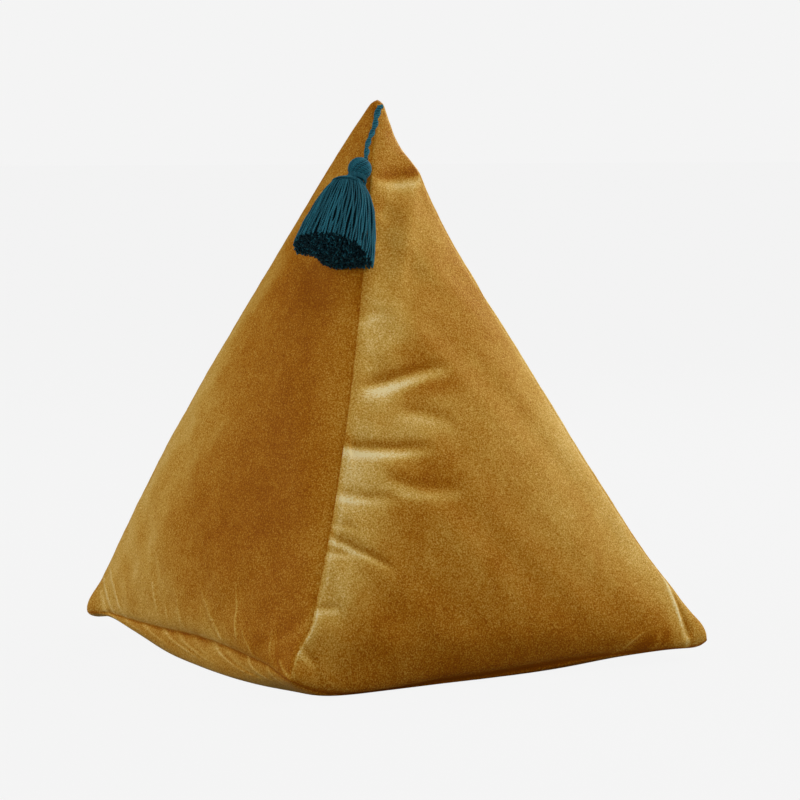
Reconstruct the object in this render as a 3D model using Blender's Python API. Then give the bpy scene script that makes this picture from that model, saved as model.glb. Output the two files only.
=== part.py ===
"""Pyramid cushion in cotton velvet, with a yarn tassel on a twisted cord sewn into its peak.

Metres, +Z up. The cushion stands on z = 0 with the middle of its base at the origin.
The broad front panel faces -Y, the panel beside it faces -X, and the tassel hangs over the
seam between those two. Sizes in the tables are millimetres on the real thing.
"""

import math
from collections import namedtuple

import bmesh
import bpy
import numpy as np
from mathutils import Vector
from mathutils.bvhtree import BVHTree

MM = 0.001

# The five points where panels meet, in millimetres
Corner = namedtuple("Corner", "x y z")
CORNERS = {
    "front": Corner(-174, -163, 17),
    "right": Corner(178, -180, 16),
    "back": Corner(172, 180, 16),
    "left": Corner(-178, 174, 16),
    "peak": Corner(-5, 3, 429),
}

# How each seam leaves the straight line between its ends: at is the share of the way from its
# first end, out is away from the middle of the cushion, along is counter-clockwise seen from
# above on a slanted seam and upwards on a base seam.
Bend = namedtuple("Bend", "at out along")
SEAMS = {
    ("front", "peak"): (
        Bend(0.08, 1, 7),
        Bend(0.20, 3, 11),
        Bend(0.42, 6, 13),
        Bend(0.70, 5, 8),
        Bend(0.90, 3, 2),
    ),
    ("right", "peak"): (
        Bend(0.08, -1, 0),
        Bend(0.20, -4, 0),
        Bend(0.50, -9, 0),
        Bend(0.80, -6, 0),
    ),
    ("back", "peak"): (Bend(0.15, -4, 0), Bend(0.50, 0, 2), Bend(0.85, 2, 0)),
    ("left", "peak"): (
        Bend(0.08, 1, 0),
        Bend(0.25, 8, 0),
        Bend(0.55, 11, 0),
        Bend(0.85, 8, 0),
    ),
    ("front", "right"): (
        Bend(0.08, -7, -9),
        Bend(0.40, -17, -11),
        Bend(0.75, -13, -7),
        Bend(0.92, -6, -2),
    ),
    ("right", "back"): (Bend(0.08, -4, -2), Bend(0.5, -13, 0), Bend(0.92, -4, -2)),
    ("back", "left"): (Bend(0.08, -4, -1), Bend(0.5, -12, 4), Bend(0.92, -4, -1)),
    ("left", "front"): (Bend(0.08, -3, 5), Bend(0.5, -6, 12), Bend(0.90, -2, 5)),
}

# A side panel bulges by crown at most. The powers set how steeply it leaves its base seam and
# its two slanted seams: the smaller, the rounder the cushion is beside that seam.
Panel = namedtuple("Panel", "name left right crown base_power side_power")
PANELS = (
    Panel("front", "front", "right", 30, 0.42, 0.80),
    Panel("right", "right", "back", 27, 0.50, 0.72),
    Panel("back", "back", "left", 26, 0.50, 0.72),
    Panel("left", "left", "front", 27, 0.55, 0.72),
)

# Base panel: its sag below the seams before the floor flattens it, and how far it swells out
# past each seam, swell, at the share reach of the way across
BASE_SAG = 58
BASE_SAG_POWER = 0.56
CORNER_LIFT = 0.55
CORNER_REACH = 0.27
Rim = namedtuple("Rim", "side swell reach")
RIMS = (Rim("left", 17, 0.075), Rim("front", 6, 0.06), Rim("right", 9, 0.07), Rim("back", 11, 0.07))
FLOOR_BLEND = 5

# Blunt peak: the panels stand off the point by this much, fading with depth below it
PEAK_PLUMP = 4.5
PEAK_RISE = 4
PEAK_FADE = 34

# Creases pressed into a panel. Each starts deep near a seam and fades out towards its other
# end. across and up are measured on the flat panel from its left corner; on the base they run
# from the front corner to the right and to the left. bow curves the crease sideways, half_width
# is half its breadth and depth how far it sinks, less than nothing for a ridge.
Crease = namedtuple("Crease", "panel across_0 up_0 across_1 up_1 bow half_width depth")
CREASES = (
    Crease("front", 196, 383, 132, 380, -3, 6.5, 4.4),
    Crease("front", 156, 362, 132, 300, 3, 11, 1.8),
    Crease("front", 92, 268, 132, 275, 2, 6, 1.5),
    Crease("front", 76, 214, 176, 226, 3, 6.5, 4.8),
    Crease("front", 96, 202, 166, 180, 4, 8, 2.6),
    Crease("front", 60, 171, 142, 167, 4, 6, 5.0),
    Crease("front", 86, 158, 176, 132, 8, 11, 2.8),
    Crease("front", 50, 136, 108, 135, 3, 5.5, 3.4),
    Crease("front", 40, 115, 68, 114, 1, 4, 1.8),
    Crease("front", 37, 105, 92, 84, 3, 5, 3.8),
    Crease("front", 32, 93, 64, 90, 1, 4, 1.7),
    Crease("front", 20, 51, 48, 52, 1, 4, 2.2),
    Crease("front", 10, 24, 26, 16, 0, 6, 3.0),
    Crease("front", 338, 3, 318, 66, 3, 4, -3.2),
    Crease("front", 345, 4, 327, 52, 2, 5, 4.2),
    Crease("front", 326, 2, 300, 36, 2, 7, 3.2),
    Crease("front", 300, 3, 262, 18, -2, 6, 3.0),
    Crease("left", 46, 2, 10, 84, -4, 5, -2.4),
    Crease("left", 34, 2, 4, 62, -3, 4.5, 2.8),
    Crease("left", 60, 2, 26, 50, -3, 4.5, 2.0),
    Crease("left", 138, 2, 92, 78, -6, 5, -2.6),
    Crease("left", 126, 2, 84, 68, -5, 5, 2.4),
    Crease("left", 170, 2, 142, 58, -3, 5, -2.2),
    Crease("left", 160, 2, 134, 50, -3, 5, 2.0),
    Crease("left", 230, 2, 198, 62, -4, 5.5, -2.2),
    Crease("left", 264, 2, 232, 74, -4, 4.5, -2.6),
    Crease("left", 252, 2, 224, 58, -3, 5, 2.4),
    Crease("left", 284, 2, 254, 40, -3, 4.5, -2.4),
    Crease("left", 309, 3, 291, 52, 2, 4.5, -2.4),
    Crease("left", 326, 66, 294, 6, 10, 9, 2.4),
    Crease("right", 322, 150, 240, 160, -5, 7, 4.0),
    Crease("right", 296, 216, 226, 206, 4, 8, 3.6),
    Crease("right", 24, 96, 86, 86, 4, 6, 3.0),
    Crease("right", 76, 262, 140, 254, 4, 7, 3.2),
    Crease("right", 60, 3, 78, 74, -5, 5.5, 2.6),
    Crease("right", 190, 3, 176, 66, 4, 6.5, 2.4),
    Crease("right", 298, 3, 276, 78, 5, 5.5, 2.8),
    Crease("right", 8, 3, 26, 58, -3, 5, 3.2),
    Crease("right", 345, 4, 328, 52, 3, 5, 3.2),
    Crease("back", 42, 147, 116, 152, -4, 7, 4.0),
    Crease("back", 76, 217, 142, 230, 4, 7, 3.4),
    Crease("back", 288, 174, 222, 156, -4, 8, 3.2),
    Crease("back", 204, 365, 152, 372, -3, 7, 3.4),
    Crease("back", 116, 3, 130, 70, 4, 5.5, 2.6),
    Crease("back", 246, 3, 230, 62, -3, 5.5, 2.4),
    Crease("back", 344, 3, 322, 60, 3, 5, 3.4),
    Crease("back", 8, 3, 28, 60, -3, 5, 3.2),
    Crease("base", 1, 290, 16, 240, 0, 5, 3.0),
    Crease("base", 1, 250, 16, 196, 0, 5, 2.8),
    Crease("base", 1, 218, 17, 140, 0, 5, 3.0),
    Crease("base", 1, 186, 17, 110, 0, 5, 2.8),
    Crease("base", 1, 130, 16, 42, 0, 5, 3.4),
    Crease("base", 1, 78, 16, 22, 0, 5, 2.6),
    Crease("base", 349, 82, 334, 130, 0, 5, 2.4),
    Crease("base", 349, 222, 334, 268, 0, 5, 2.4),
    Crease("base", 118, 349, 70, 334, 0, 5, 2.4),
    Crease("base", 256, 349, 210, 334, 0, 5, 2.4),
)
CREASE_START = 0.62
CREASE_NARROWING = 0.5

# Soft lumps of the filling: height, and how far apart they are across and up
Lump = namedtuple("Lump", "height across up turn")
LUMPS = (Lump(1.1, 96, 150, 0.6), Lump(0.9, 61, 83, 2.1), Lump(0.6, 43, 47, 4.0))
LUMP_CLEAR = 22
CREASE_CLEAR = 2.5

# Fine skin that the creases are pressed into, and the share of its triangles that is kept
FINE_GRID = 120
KEPT_SHARE = 0.098

# Tassel of yarn. It hangs from the middle of its head: down runs along the skirt, side along
# the cushion and off away from it. lean is from straight down; the headings turn from -X to -Y.
HEAD_CENTRE = (-38.5, -28.4, 375.9)
HEAD_RADIUS = 9.3
HEAD_STEPS = 8
TASSEL_LEAN = 35
TASSEL_HEADING = 32
TASSEL_FACING = 25
TASSEL_LENGTH = 80.5
NECK_RADIUS = 6.3
NECK_TOP = 7.2
NECK_BOTTOM = 12.6
SHOULDER_DOWN = 16.5
SHOULDER_ROUNDING = 1
SKIRT_START = 12
SKIRT_HALF_WIDTH = 31.5
SKIRT_FLARE = 0.33
SKIRT_DEPTH_SHARE = 0.85
SKIRT_SIDE_STEP = -4.5
SKIRT_SIDE_FADE = 15
SKIRT_CLEARANCE = 0.9
RAY_START = 100

# Locks of the skirt: rings of them in its section, what each fills of its cell, and where
# along the skirt they bend
LOCK_RINGS = 5
LOCK_SHARE = 0.66
LOCK_STATIONS = (0.0, 0.15, 0.42, 0.72, 1.0)
LOCK_UNEVEN = 2.5
LOCK_WAVE = 1.2
LOCK_WAVE_LENGTH = 24
LOCK_NUDGE = 0.16
LOCK_SEED = 7

# Yarn wound round the neck
BINDING_TURNS = 5
BINDING_YARN = 0.97
BINDING_DEPTH = 1.5
BINDING_SEGMENTS = 24

# Two-ply cord from the peak to the head. Its route is the middle line of the cord.
CORD_DIAMETER = 4.0
CORD_ROUTE = (
    (-5.3, -4.8, 424.2),
    (-9.5, -6.5, 420.6),
    (-11.6, -9.2, 415.2),
    (-15.2, -12.3, 408.0),
    (-20.6, -15.1, 401.4),
    (-26.0, -19.0, 393.8),
    (-29.6, -24.4, 388.5),
    (-32.2, -26.7, 383.6),
)
CORD_TURN = 13
CORD_STEP = 1.6
CORD_SIDES = 12
CORD_WAIST = 0.48

GAP = 0.3

VELVET = (0.33, 0.15, 0.02)
YARN = (0.02, 0.08, 0.11)


def point(name):
    return np.array(CORNERS[name], dtype=float)


def through(knots, t):
    """Smooth curve through (at, value) knots that is zero at both ends of 0..1."""
    at = np.array([0.0] + [knot[0] for knot in knots] + [1.0])
    value = np.array([0.0] + [knot[1] for knot in knots] + [0.0])
    slope = np.gradient(value, at)
    i = np.clip(np.searchsorted(at, t, side="right") - 1, 0, len(at) - 2)
    step = at[i + 1] - at[i]
    s = (t - at[i]) / step
    rise = value[i + 1] - value[i]
    start = s * (1 - s) ** 2 * slope[i] * step
    end = s**2 * (s - 1) * slope[i + 1] * step
    return value[i] + rise * s**2 * (3 - 2 * s) + start + end


def seam_offset(first, second, t):
    """How far the seam from first to second leaves its straight line, an array of points."""
    turned = (first, second) not in SEAMS
    ends = (second, first) if turned else (first, second)
    at = 1 - t if turned else t
    bends = SEAMS[ends]
    middle = (point(ends[0]) + point(ends[1])) / 2
    out = np.array([middle[0], middle[1], 0.0])
    if ends[1] == "peak":
        foot = point(ends[0])
        out = np.array([foot[0], foot[1], 0.0])
    out /= np.linalg.norm(out)
    along = np.array([-out[1], out[0], 0.0]) if ends[1] == "peak" else np.array([0.0, 0.0, 1.0])
    push = through([(bend.at, bend.out) for bend in bends], at)
    slip = through([(bend.at, bend.along) for bend in bends], at)
    return push[:, None] * out + slip[:, None] * along


def share(part, whole):
    """part / whole, and nothing where whole is nothing."""
    return np.divide(part, whole, out=np.zeros_like(part), where=whole > 1e-9)


def crease_depth(name, across, up):
    """How far the creases of a panel sink at places across and up on it."""
    sunk = np.zeros_like(across)
    for crease in CREASES:
        if crease.panel != name:
            continue
        start = np.array([crease.across_0, crease.up_0], dtype=float)
        run = np.array([crease.across_1, crease.up_1]) - start
        length = np.linalg.norm(run)
        run /= length
        x, y = across - start[0], up - start[1]
        s = np.clip((x * run[0] + y * run[1]) / length, 0, 1)
        beside = y * run[0] - x * run[1] - crease.bow * 4 * s * (1 - s)
        strength = np.sin(math.pi * s**CREASE_START)
        width = crease.half_width * (1 - CREASE_NARROWING + CREASE_NARROWING * strength)
        q = 0.55 * (beside / width) ** 2
        sunk += crease.depth * strength * (1 - q) * np.exp(-q)
    return sunk


def lumps(index, across, up):
    """Soft unevenness of the filling under panel number index."""
    height = np.zeros_like(across)
    for lump in LUMPS:
        turn = lump.turn + 1.7 * index
        wave = np.sin(2 * math.pi * across / lump.across + turn + 0.9 * np.sin(up / lump.up))
        height += lump.height * wave * np.sin(2 * math.pi * up / lump.up + 2 * turn)
    return height


def side_panel(panel, a, b, c):
    """Points of a side panel. a, b and c are the shares of the peak, left and right corners."""
    peak, left, right = point("peak"), point(panel.left), point(panel.right)
    flat = a[:, None] * peak + b[:, None] * left + c[:, None] * right
    flat += ((1 - c) ** 1.5)[:, None] * seam_offset(panel.left, "peak", share(a, a + b))
    flat += ((1 - b) ** 1.5)[:, None] * seam_offset(panel.right, "peak", share(a, a + c))
    flat += ((1 - a) ** 2.0)[:, None] * seam_offset(panel.left, panel.right, share(c, b + c))
    normal = np.cross(right - left, peak - left)
    normal /= np.linalg.norm(normal)
    p, q = panel.base_power, panel.side_power
    top = (p / (p + 2 * q)) ** p * (q / (p + 2 * q)) ** (2 * q)
    bulge = panel.crown * a**p * (b * c) ** q / top
    base = np.linalg.norm(right - left)
    side = (right - left) / base
    lean = np.dot(peak - left, side)
    height = np.linalg.norm(peak - left - lean * side)
    across = c * base + a * lean
    seam_gap = np.minimum(np.minimum(a * height, b * base * 0.9), c * base * 0.9)
    bulge -= crease_depth(panel.name, across, a * height) * (1 - np.exp(-seam_gap / CREASE_CLEAR))
    bulge += lumps(PANELS.index(panel), across, a * height) * (1 - np.exp(-seam_gap / LUMP_CLEAR))
    return flat + bulge[:, None] * normal


def base_panel(u, v):
    """Points of the base, seen from below: u runs from front to right, v from front to left."""
    front, right, back, left = (point(name) for name in ("front", "right", "back", "left"))
    u1, v1 = u[:, None], v[:, None]
    flat = (1 - v1) * ((1 - u1) * front + u1 * right) + v1 * ((1 - u1) * left + u1 * back)
    flat += (1 - v1) * seam_offset("front", "right", u) + v1 * seam_offset("left", "back", u)
    flat += (1 - u1) * seam_offset("front", "left", v) + u1 * seam_offset("right", "back", v)
    hollow = (16 * u * (1 - u) * v * (1 - v)) ** BASE_SAG_POWER
    for corner in ((0, 0), (1, 0), (0, 1), (1, 1)):
        away = np.hypot(u - corner[0], v - corner[1])
        hollow *= 1 - CORNER_LIFT * np.exp(-((away / CORNER_REACH) ** 2))
    flat[:, 2] -= BASE_SAG * hollow
    sides = {
        "left": (u, v, (-1, 0)),
        "front": (v, u, (0, -1)),
        "right": (1 - u, v, (1, 0)),
        "back": (1 - v, u, (0, 1)),
    }
    for rim in RIMS:
        inward, beside, way = sides[rim.side]
        near = inward / rim.reach
        swell = rim.swell * near * np.exp(1 - near) * np.sqrt(4 * beside * (1 - beside))
        flat[:, :2] += swell[:, None] * np.array(way)
    span = np.linalg.norm(right - front)
    sunk = crease_depth("base", u * span, v * span)
    edge = np.minimum(np.minimum(u, 1 - u), np.minimum(v, 1 - v)) * span
    sunk *= 1 - np.exp(-edge / CREASE_CLEAR)
    inwards = np.stack([0.5 - u, 0.5 - v], axis=1)
    inwards /= np.maximum(np.linalg.norm(inwards, axis=1), 1e-6)[:, None]
    flat[:, :2] += sunk[:, None] * inwards
    return flat


def rest_on_floor(points):
    """Flatten what the floor stops, with a soft start to the contact."""
    low = points[:, 2]
    eased = np.where(low > FLOOR_BLEND, low, (low + FLOOR_BLEND) ** 2 / (4 * FLOOR_BLEND))
    points[:, 2] = np.where(low < -FLOOR_BLEND, 0.0, eased)
    return points


def plump_peak(points):
    """Stand the panels off the point, so that the peak is blunt as sewn corners are."""
    peak = point("peak")
    depth = np.maximum(peak[2] - points[:, 2], 0)
    away = points[:, :2] - peak[:2]
    radius = np.linalg.norm(away, axis=1)
    push = PEAK_PLUMP * (1 - np.exp(-depth / PEAK_RISE)) * np.exp(-depth / PEAK_FADE)
    points[:, :2] += np.where(radius > 1e-6, push / np.maximum(radius, 1e-6), 0)[:, None] * away
    return points


def triangle_grid(n):
    """Shares (a, b, c) of a triangle's corners on an even grid, and its faces."""
    rows = [(i, j) for i in range(n + 1) for j in range(n + 1 - i)]
    index = {row: k for k, row in enumerate(rows)}
    shares = np.array([(i / n, (n - i - j) / n, j / n) for i, j in rows])
    faces = []
    for i, j in rows:
        if i + j < n:
            faces.append((index[i, j], index[i, j + 1], index[i + 1, j]))
        if i + j < n - 1:
            faces.append((index[i, j + 1], index[i + 1, j + 1], index[i + 1, j]))
    return shares, faces


def square_grid(n):
    """u and v on an even grid, and its faces, which face down."""
    rows = np.array([(i / n, j / n) for i in range(n + 1) for j in range(n + 1)])
    faces = []
    for i in range(n):
        for j in range(n):
            a, b = i * (n + 1) + j, (i + 1) * (n + 1) + j
            faces.append((a, a + 1, b + 1, b))
    return rows, faces


def cushion_mesh(n):
    """The closed skin of the cushion as a bmesh, n faces along each seam."""
    shares, faces = triangle_grid(n)
    mesh = bmesh.new()
    for panel in PANELS:
        points = rest_on_floor(plump_peak(side_panel(panel, *shares.T))) * MM
        verts = [mesh.verts.new(p) for p in points]
        for face in faces:
            mesh.faces.new([verts[k] for k in face])
    rows, faces = square_grid(n)
    points = rest_on_floor(base_panel(*rows.T)) * MM
    verts = [mesh.verts.new(p) for p in points]
    for face in faces:
        mesh.faces.new([verts[k] for k in face])
    bmesh.ops.remove_doubles(mesh, verts=mesh.verts, dist=0.01 * MM)
    return mesh


def tassel_frame():
    """Middle of the head, then the unit directions side, off and down."""
    lean, heading, facing = (math.radians(a) for a in (TASSEL_LEAN, TASSEL_HEADING, TASSEL_FACING))
    flat = Vector((-math.cos(heading), -math.sin(heading), 0))
    down = flat * math.sin(lean) - Vector((0, 0, math.cos(lean)))
    off = Vector((-math.cos(facing), -math.sin(facing), 0))
    off = (off - off.dot(down) * down).normalized()
    return Vector(HEAD_CENTRE), off.cross(down), off, down


def skirt_half_width(s):
    return SKIRT_HALF_WIDTH * ((s - SKIRT_START) / (TASSEL_LENGTH - SKIRT_START)) ** SKIRT_FLARE


def skirt_point(frame, tree, across, depth, s):
    """Place in the skirt s below the head's middle, for shares -1..1 across and off the cushion."""
    middle, side, off, down = frame
    half = skirt_half_width(s)
    run = s - SHOULDER_DOWN
    x = half * across + SKIRT_SIDE_STEP * math.exp(-run / SKIRT_SIDE_FADE)
    x += LOCK_WAVE * run / TASSEL_LENGTH * math.sin(half * across * 2 * math.pi / LOCK_WAVE_LENGTH)
    natural = half * SKIRT_DEPTH_SHARE
    back = -natural
    hit = tree.ray_cast((middle + side * x + off * RAY_START + down * s) * MM, -off)
    if hit[0] is not None:
        back = max(back, RAY_START - hit[3] / MM + SKIRT_CLEARANCE)
    y = back + (depth + 1) / 2 * (natural - back)
    return middle + side * x + off * y + down * s


def disc_cells(rings):
    """Points of a unit disc in rings of 6, 12, 18 and so on, and the triangles between them."""
    points = [(0.0, 0.0)]
    starts = [0]
    for ring in range(1, rings + 1):
        starts.append(len(points))
        turns = [2 * math.pi * i / (6 * ring) for i in range(6 * ring)]
        points += [(ring / rings * math.cos(t), ring / rings * math.sin(t)) for t in turns]
    cells = []
    for ring in range(1, rings + 1):
        for sector in range(6):
            for i in range(ring):
                outer = starts[ring] + (sector * ring + i) % (6 * ring)
                after = starts[ring] + (sector * ring + i + 1) % (6 * ring)
                inner_count = max(6 * (ring - 1), 1)
                inner = starts[ring - 1] + (sector * (ring - 1) + i) % inner_count
                cells.append((outer, after, inner))
                if i < ring - 1:
                    beside = starts[ring - 1] + (sector * (ring - 1) + i + 1) % inner_count
                    cells.append((inner, after, beside))
    return points, cells


def add_ring(mesh, points):
    return [mesh.verts.new(Vector(p) * MM) for p in points]


def join_rings(mesh, upper, lower):
    """Faces between two closed rings of equal count, facing out when they turn the same way."""
    count = len(upper)
    for i in range(count):
        j = (i + 1) % count
        mesh.faces.new((upper[i], lower[i], lower[j], upper[j]))


def tassel_mesh(tree):
    """Head, neck and shoulder turned round the tassel's middle, with the locks grown from it."""
    frame = tassel_frame()
    middle, side, off, down = frame
    rng = np.random.default_rng(LOCK_SEED)
    mesh = bmesh.new()
    segments = 6 * LOCK_RINGS
    turns = [2 * math.pi * i / segments for i in range(segments)]

    def turned(s, radius, shift=0.0, depth=1.0):
        return add_ring(
            mesh,
            [
                middle
                + side * (radius * math.cos(t) + shift)
                + off * radius * depth * math.sin(t)
                + down * s
                for t in turns
            ],
        )

    pole = mesh.verts.new((middle - down * HEAD_RADIUS) * MM)
    rings = []
    lowest = math.pi - math.asin(NECK_RADIUS / HEAD_RADIUS)
    for k in range(1, HEAD_STEPS + 1):
        angle = lowest * k / HEAD_STEPS
        rings.append(turned(-HEAD_RADIUS * math.cos(angle), HEAD_RADIUS * math.sin(angle)))
    rings.append(turned(NECK_BOTTOM, NECK_RADIUS))
    shoulder = skirt_half_width(SHOULDER_DOWN)
    halfway = (NECK_BOTTOM + SHOULDER_DOWN) / 2
    rounded = (NECK_RADIUS + shoulder) / 2 + SHOULDER_ROUNDING
    depth = (1 + SKIRT_DEPTH_SHARE) / 2
    rings.append(turned(halfway, rounded, SKIRT_SIDE_STEP / 2, depth))
    for i in range(segments):
        mesh.faces.new((pole, rings[0][i], rings[0][(i + 1) % segments]))
    for upper, lower in zip(rings, rings[1:]):
        join_rings(mesh, upper, lower)

    shares, cells = disc_cells(LOCK_RINGS)
    spread = LOCK_NUDGE / LOCK_RINGS
    inner = len(shares) - segments
    nudged = [
        (x + rng.uniform(-spread, spread), y + rng.uniform(-spread, spread))
        if k < inner
        else (x, y)
        for k, (x, y) in enumerate(shares)
    ]
    disc = add_ring(mesh, [skirt_point(frame, tree, x, y, SHOULDER_DOWN) for x, y in nudged])
    join_rings(mesh, rings[-1], disc[inner:])
    for cell in cells:
        corners = [nudged[k] for k in cell]
        x0 = sum(x for x, _ in corners) / 3
        y0 = sum(y for _, y in corners) / 3
        lock = [(x0 + (x - x0) * LOCK_SHARE, y0 + (y - y0) * LOCK_SHARE) for x, y in corners]
        length = TASSEL_LENGTH - SHOULDER_DOWN + rng.uniform(-LOCK_UNEVEN, 0)
        above = [disc[k] for k in cell]
        for station in LOCK_STATIONS:
            s = SHOULDER_DOWN + station * length
            below = add_ring(mesh, [skirt_point(frame, tree, x, y, s) for x, y in lock])
            join_rings(mesh, above, below)
            above = below
        mesh.faces.new(above)
    bmesh.ops.recalc_face_normals(mesh, faces=mesh.faces)
    return mesh


def binding_mesh():
    """Ring of yarn turns round the neck, with a little room inside."""
    middle, side, off, down = tassel_frame()
    inside = NECK_RADIUS + GAP
    first = NECK_TOP + GAP
    profile = [(inside, first)]
    for turn in range(BINDING_TURNS):
        for k in (0.15, 0.5, 0.85):
            groove = BINDING_YARN / 2 * (1 - math.sin(math.pi * k))
            profile.append((inside + BINDING_DEPTH - groove, first + (turn + k) * BINDING_YARN))
    profile.append((inside, first + BINDING_TURNS * BINDING_YARN))
    mesh = bmesh.new()
    rings = []
    for i in range(BINDING_SEGMENTS):
        t = 2 * math.pi * i / BINDING_SEGMENTS
        out = side * math.cos(t) + off * math.sin(t)
        rings.append(add_ring(mesh, [middle + out * r + down * s for r, s in profile]))
    for i in range(BINDING_SEGMENTS):
        join_rings(mesh, rings[i], rings[(i + 1) % BINDING_SEGMENTS])
    bmesh.ops.recalc_face_normals(mesh, faces=mesh.faces)
    return mesh


def curve_through(points, step):
    """Even points on a smooth curve through the given ones."""
    p = np.array(points, dtype=float)
    p = np.vstack([2 * p[0] - p[1], p, 2 * p[-1] - p[-2]])
    dense = []
    for a, b, c, d in zip(p, p[1:], p[2:], p[3:]):
        for t in np.arange(0, 1, 0.05):
            square = (2 * a - 5 * b + 4 * c - d) * t**2
            cube = (3 * b - a - 3 * c + d) * t**3
            dense.append((2 * b + (c - a) * t + square + cube) / 2)
    dense.append(p[-2])
    dense = np.array(dense)
    run = np.concatenate([[0], np.cumsum(np.linalg.norm(np.diff(dense, axis=0), axis=1))])
    even = np.linspace(0, run[-1], max(2, round(run[-1] / step) + 1))
    return np.stack([np.interp(even, run, dense[:, k]) for k in range(3)], axis=1), even


def cord_mesh():
    """Two plies twisted together, swept along the route with closed ends."""
    path, run = curve_through(CORD_ROUTE, CORD_STEP)
    mesh = bmesh.new()
    across = Vector((0, 0, 1)).cross(Vector(path[1] - path[0])).normalized()
    rings = []
    for k, place in enumerate(path):
        ahead = Vector(path[min(k + 1, len(path) - 1)] - path[max(k - 1, 0)]).normalized()
        across = (across - across.dot(ahead) * ahead).normalized()
        other = ahead.cross(across)
        twist = 2 * math.pi * run[k] / CORD_TURN
        ring = []
        for i in range(CORD_SIDES):
            t = 2 * math.pi * i / CORD_SIDES
            lobe = (1 + CORD_WAIST) / 2 + (1 - CORD_WAIST) / 2 * math.cos(2 * t)
            out = across * math.cos(t + twist) + other * math.sin(t + twist)
            ring.append(Vector(place) + out * CORD_DIAMETER / 2 * lobe)
        rings.append(add_ring(mesh, ring))
    for first, second in zip(rings, rings[1:]):
        join_rings(mesh, first, second)
    mesh.faces.new(rings[0])
    mesh.faces.new(rings[-1])
    bmesh.ops.recalc_face_normals(mesh, faces=mesh.faces)
    return mesh


def make_object(name, mesh, colour, roughness):
    data = bpy.data.meshes.new(name)
    mesh.to_mesh(data)
    mesh.free()
    data.shade_smooth()
    material = bpy.data.materials.new(name)
    material.use_nodes = True
    shader = material.node_tree.nodes["Principled BSDF"]
    shader.inputs["Base Color"].default_value = (*colour, 1)
    shader.inputs["Roughness"].default_value = roughness
    data.materials.append(material)
    obj = bpy.data.objects.new(name, data)
    bpy.context.scene.collection.objects.link(obj)
    return obj


def thinned(obj, share):
    """Give the object a mesh with that share of its triangles, fewest where it is smooth."""
    modifier = obj.modifiers.new("Thin", "DECIMATE")
    modifier.ratio = share
    graph = bpy.context.evaluated_depsgraph_get()
    fine = obj.data
    obj.data = bpy.data.meshes.new_from_object(obj.evaluated_get(graph))
    obj.modifiers.remove(modifier)
    bpy.data.meshes.remove(fine)
    for vertex in obj.data.vertices:
        vertex.co.z = max(vertex.co.z, 0)
    obj.data.shade_smooth()


def main():
    for obj in list(bpy.data.objects):
        bpy.data.objects.remove(obj, do_unlink=True)
    cushion = make_object("cushion", cushion_mesh(FINE_GRID), VELVET, 0.9)
    thinned(cushion, KEPT_SHARE)
    places = [vertex.co.copy() for vertex in cushion.data.vertices]
    tree = BVHTree.FromPolygons(places, [list(face.vertices) for face in cushion.data.polygons])
    make_object("tassel", tassel_mesh(tree), YARN, 0.85)
    make_object("tassel_binding", binding_mesh(), YARN, 0.85)
    make_object("hanging_cord", cord_mesh(), YARN, 0.85)


main()
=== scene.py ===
"""Looks of the pyramid cushion: creased velvet panels, sewn seams, yarn tassel and twisted cord.

Tables are in millimetres and objects in metres, in the frame of the CAD: the cushion stands on
z = 0, its broad front panel faces -Y and the tassel hangs over the seam beside that panel.
"""

import math
from collections import namedtuple
from functools import partial

import bmesh
import bpy
import numpy as np
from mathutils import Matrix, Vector
from mathutils.bvhtree import BVHTree


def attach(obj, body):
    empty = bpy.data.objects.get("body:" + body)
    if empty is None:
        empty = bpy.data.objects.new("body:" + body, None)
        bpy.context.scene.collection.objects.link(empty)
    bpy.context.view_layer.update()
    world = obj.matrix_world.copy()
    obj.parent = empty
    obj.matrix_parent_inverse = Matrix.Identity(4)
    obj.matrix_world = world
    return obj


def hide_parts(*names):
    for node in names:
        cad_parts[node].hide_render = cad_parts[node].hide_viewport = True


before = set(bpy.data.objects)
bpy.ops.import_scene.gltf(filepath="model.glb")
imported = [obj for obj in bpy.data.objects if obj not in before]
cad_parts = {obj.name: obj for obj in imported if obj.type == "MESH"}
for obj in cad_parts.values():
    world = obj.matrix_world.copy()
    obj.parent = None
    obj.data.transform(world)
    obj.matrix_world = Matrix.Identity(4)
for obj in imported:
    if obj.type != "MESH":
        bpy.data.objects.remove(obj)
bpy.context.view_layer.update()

MM = 0.001
TURN = 2 * math.pi

# A distance from an axis and a share that are as good as nothing
ON_AXIS = 1e-6
NO_SHARE = 1e-9


def by_panel(kind, **tables):
    """The rows of each panel's table as named tuples of that kind."""
    return {panel: [kind(*row) for row in rows] for panel, rows in tables.items()}


# Camera: azimuth and elevation in degrees, distances in metres, focal length and picture width in
# pixels, and the width of the sensor in millimetres
VIEW_AZIMUTH = -31
VIEW_ELEVATION = 5.5
VIEW_DISTANCE = 2.1
VIEW_ASIDE = 0.0125
VIEW_HEIGHT = 0.194
VIEW_FOCAL = 2680
VIEW_WIDTH = 800
SENSOR = 36

# The five points where panels meet
CORNERS = {
    "front": (-174, -163, 17),
    "right": (181, -182, 15),
    "back": (172, 180, 16),
    "left": (-178, 174, 16),
    "peak": (-4.3, 2.6, 427.8),
}

# How each seam leaves the straight line between its ends: at is the share of the way from its
# first end, out is away from the middle of the cushion, along is counter-clockwise seen from
# above on a slanted seam and upwards on a base seam.
Bend = namedtuple("Bend", "at out along", defaults=(0,))


def bends(*rows):
    """The bends of one seam from its first end to its second."""
    return [Bend(*row) for row in rows]


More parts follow.
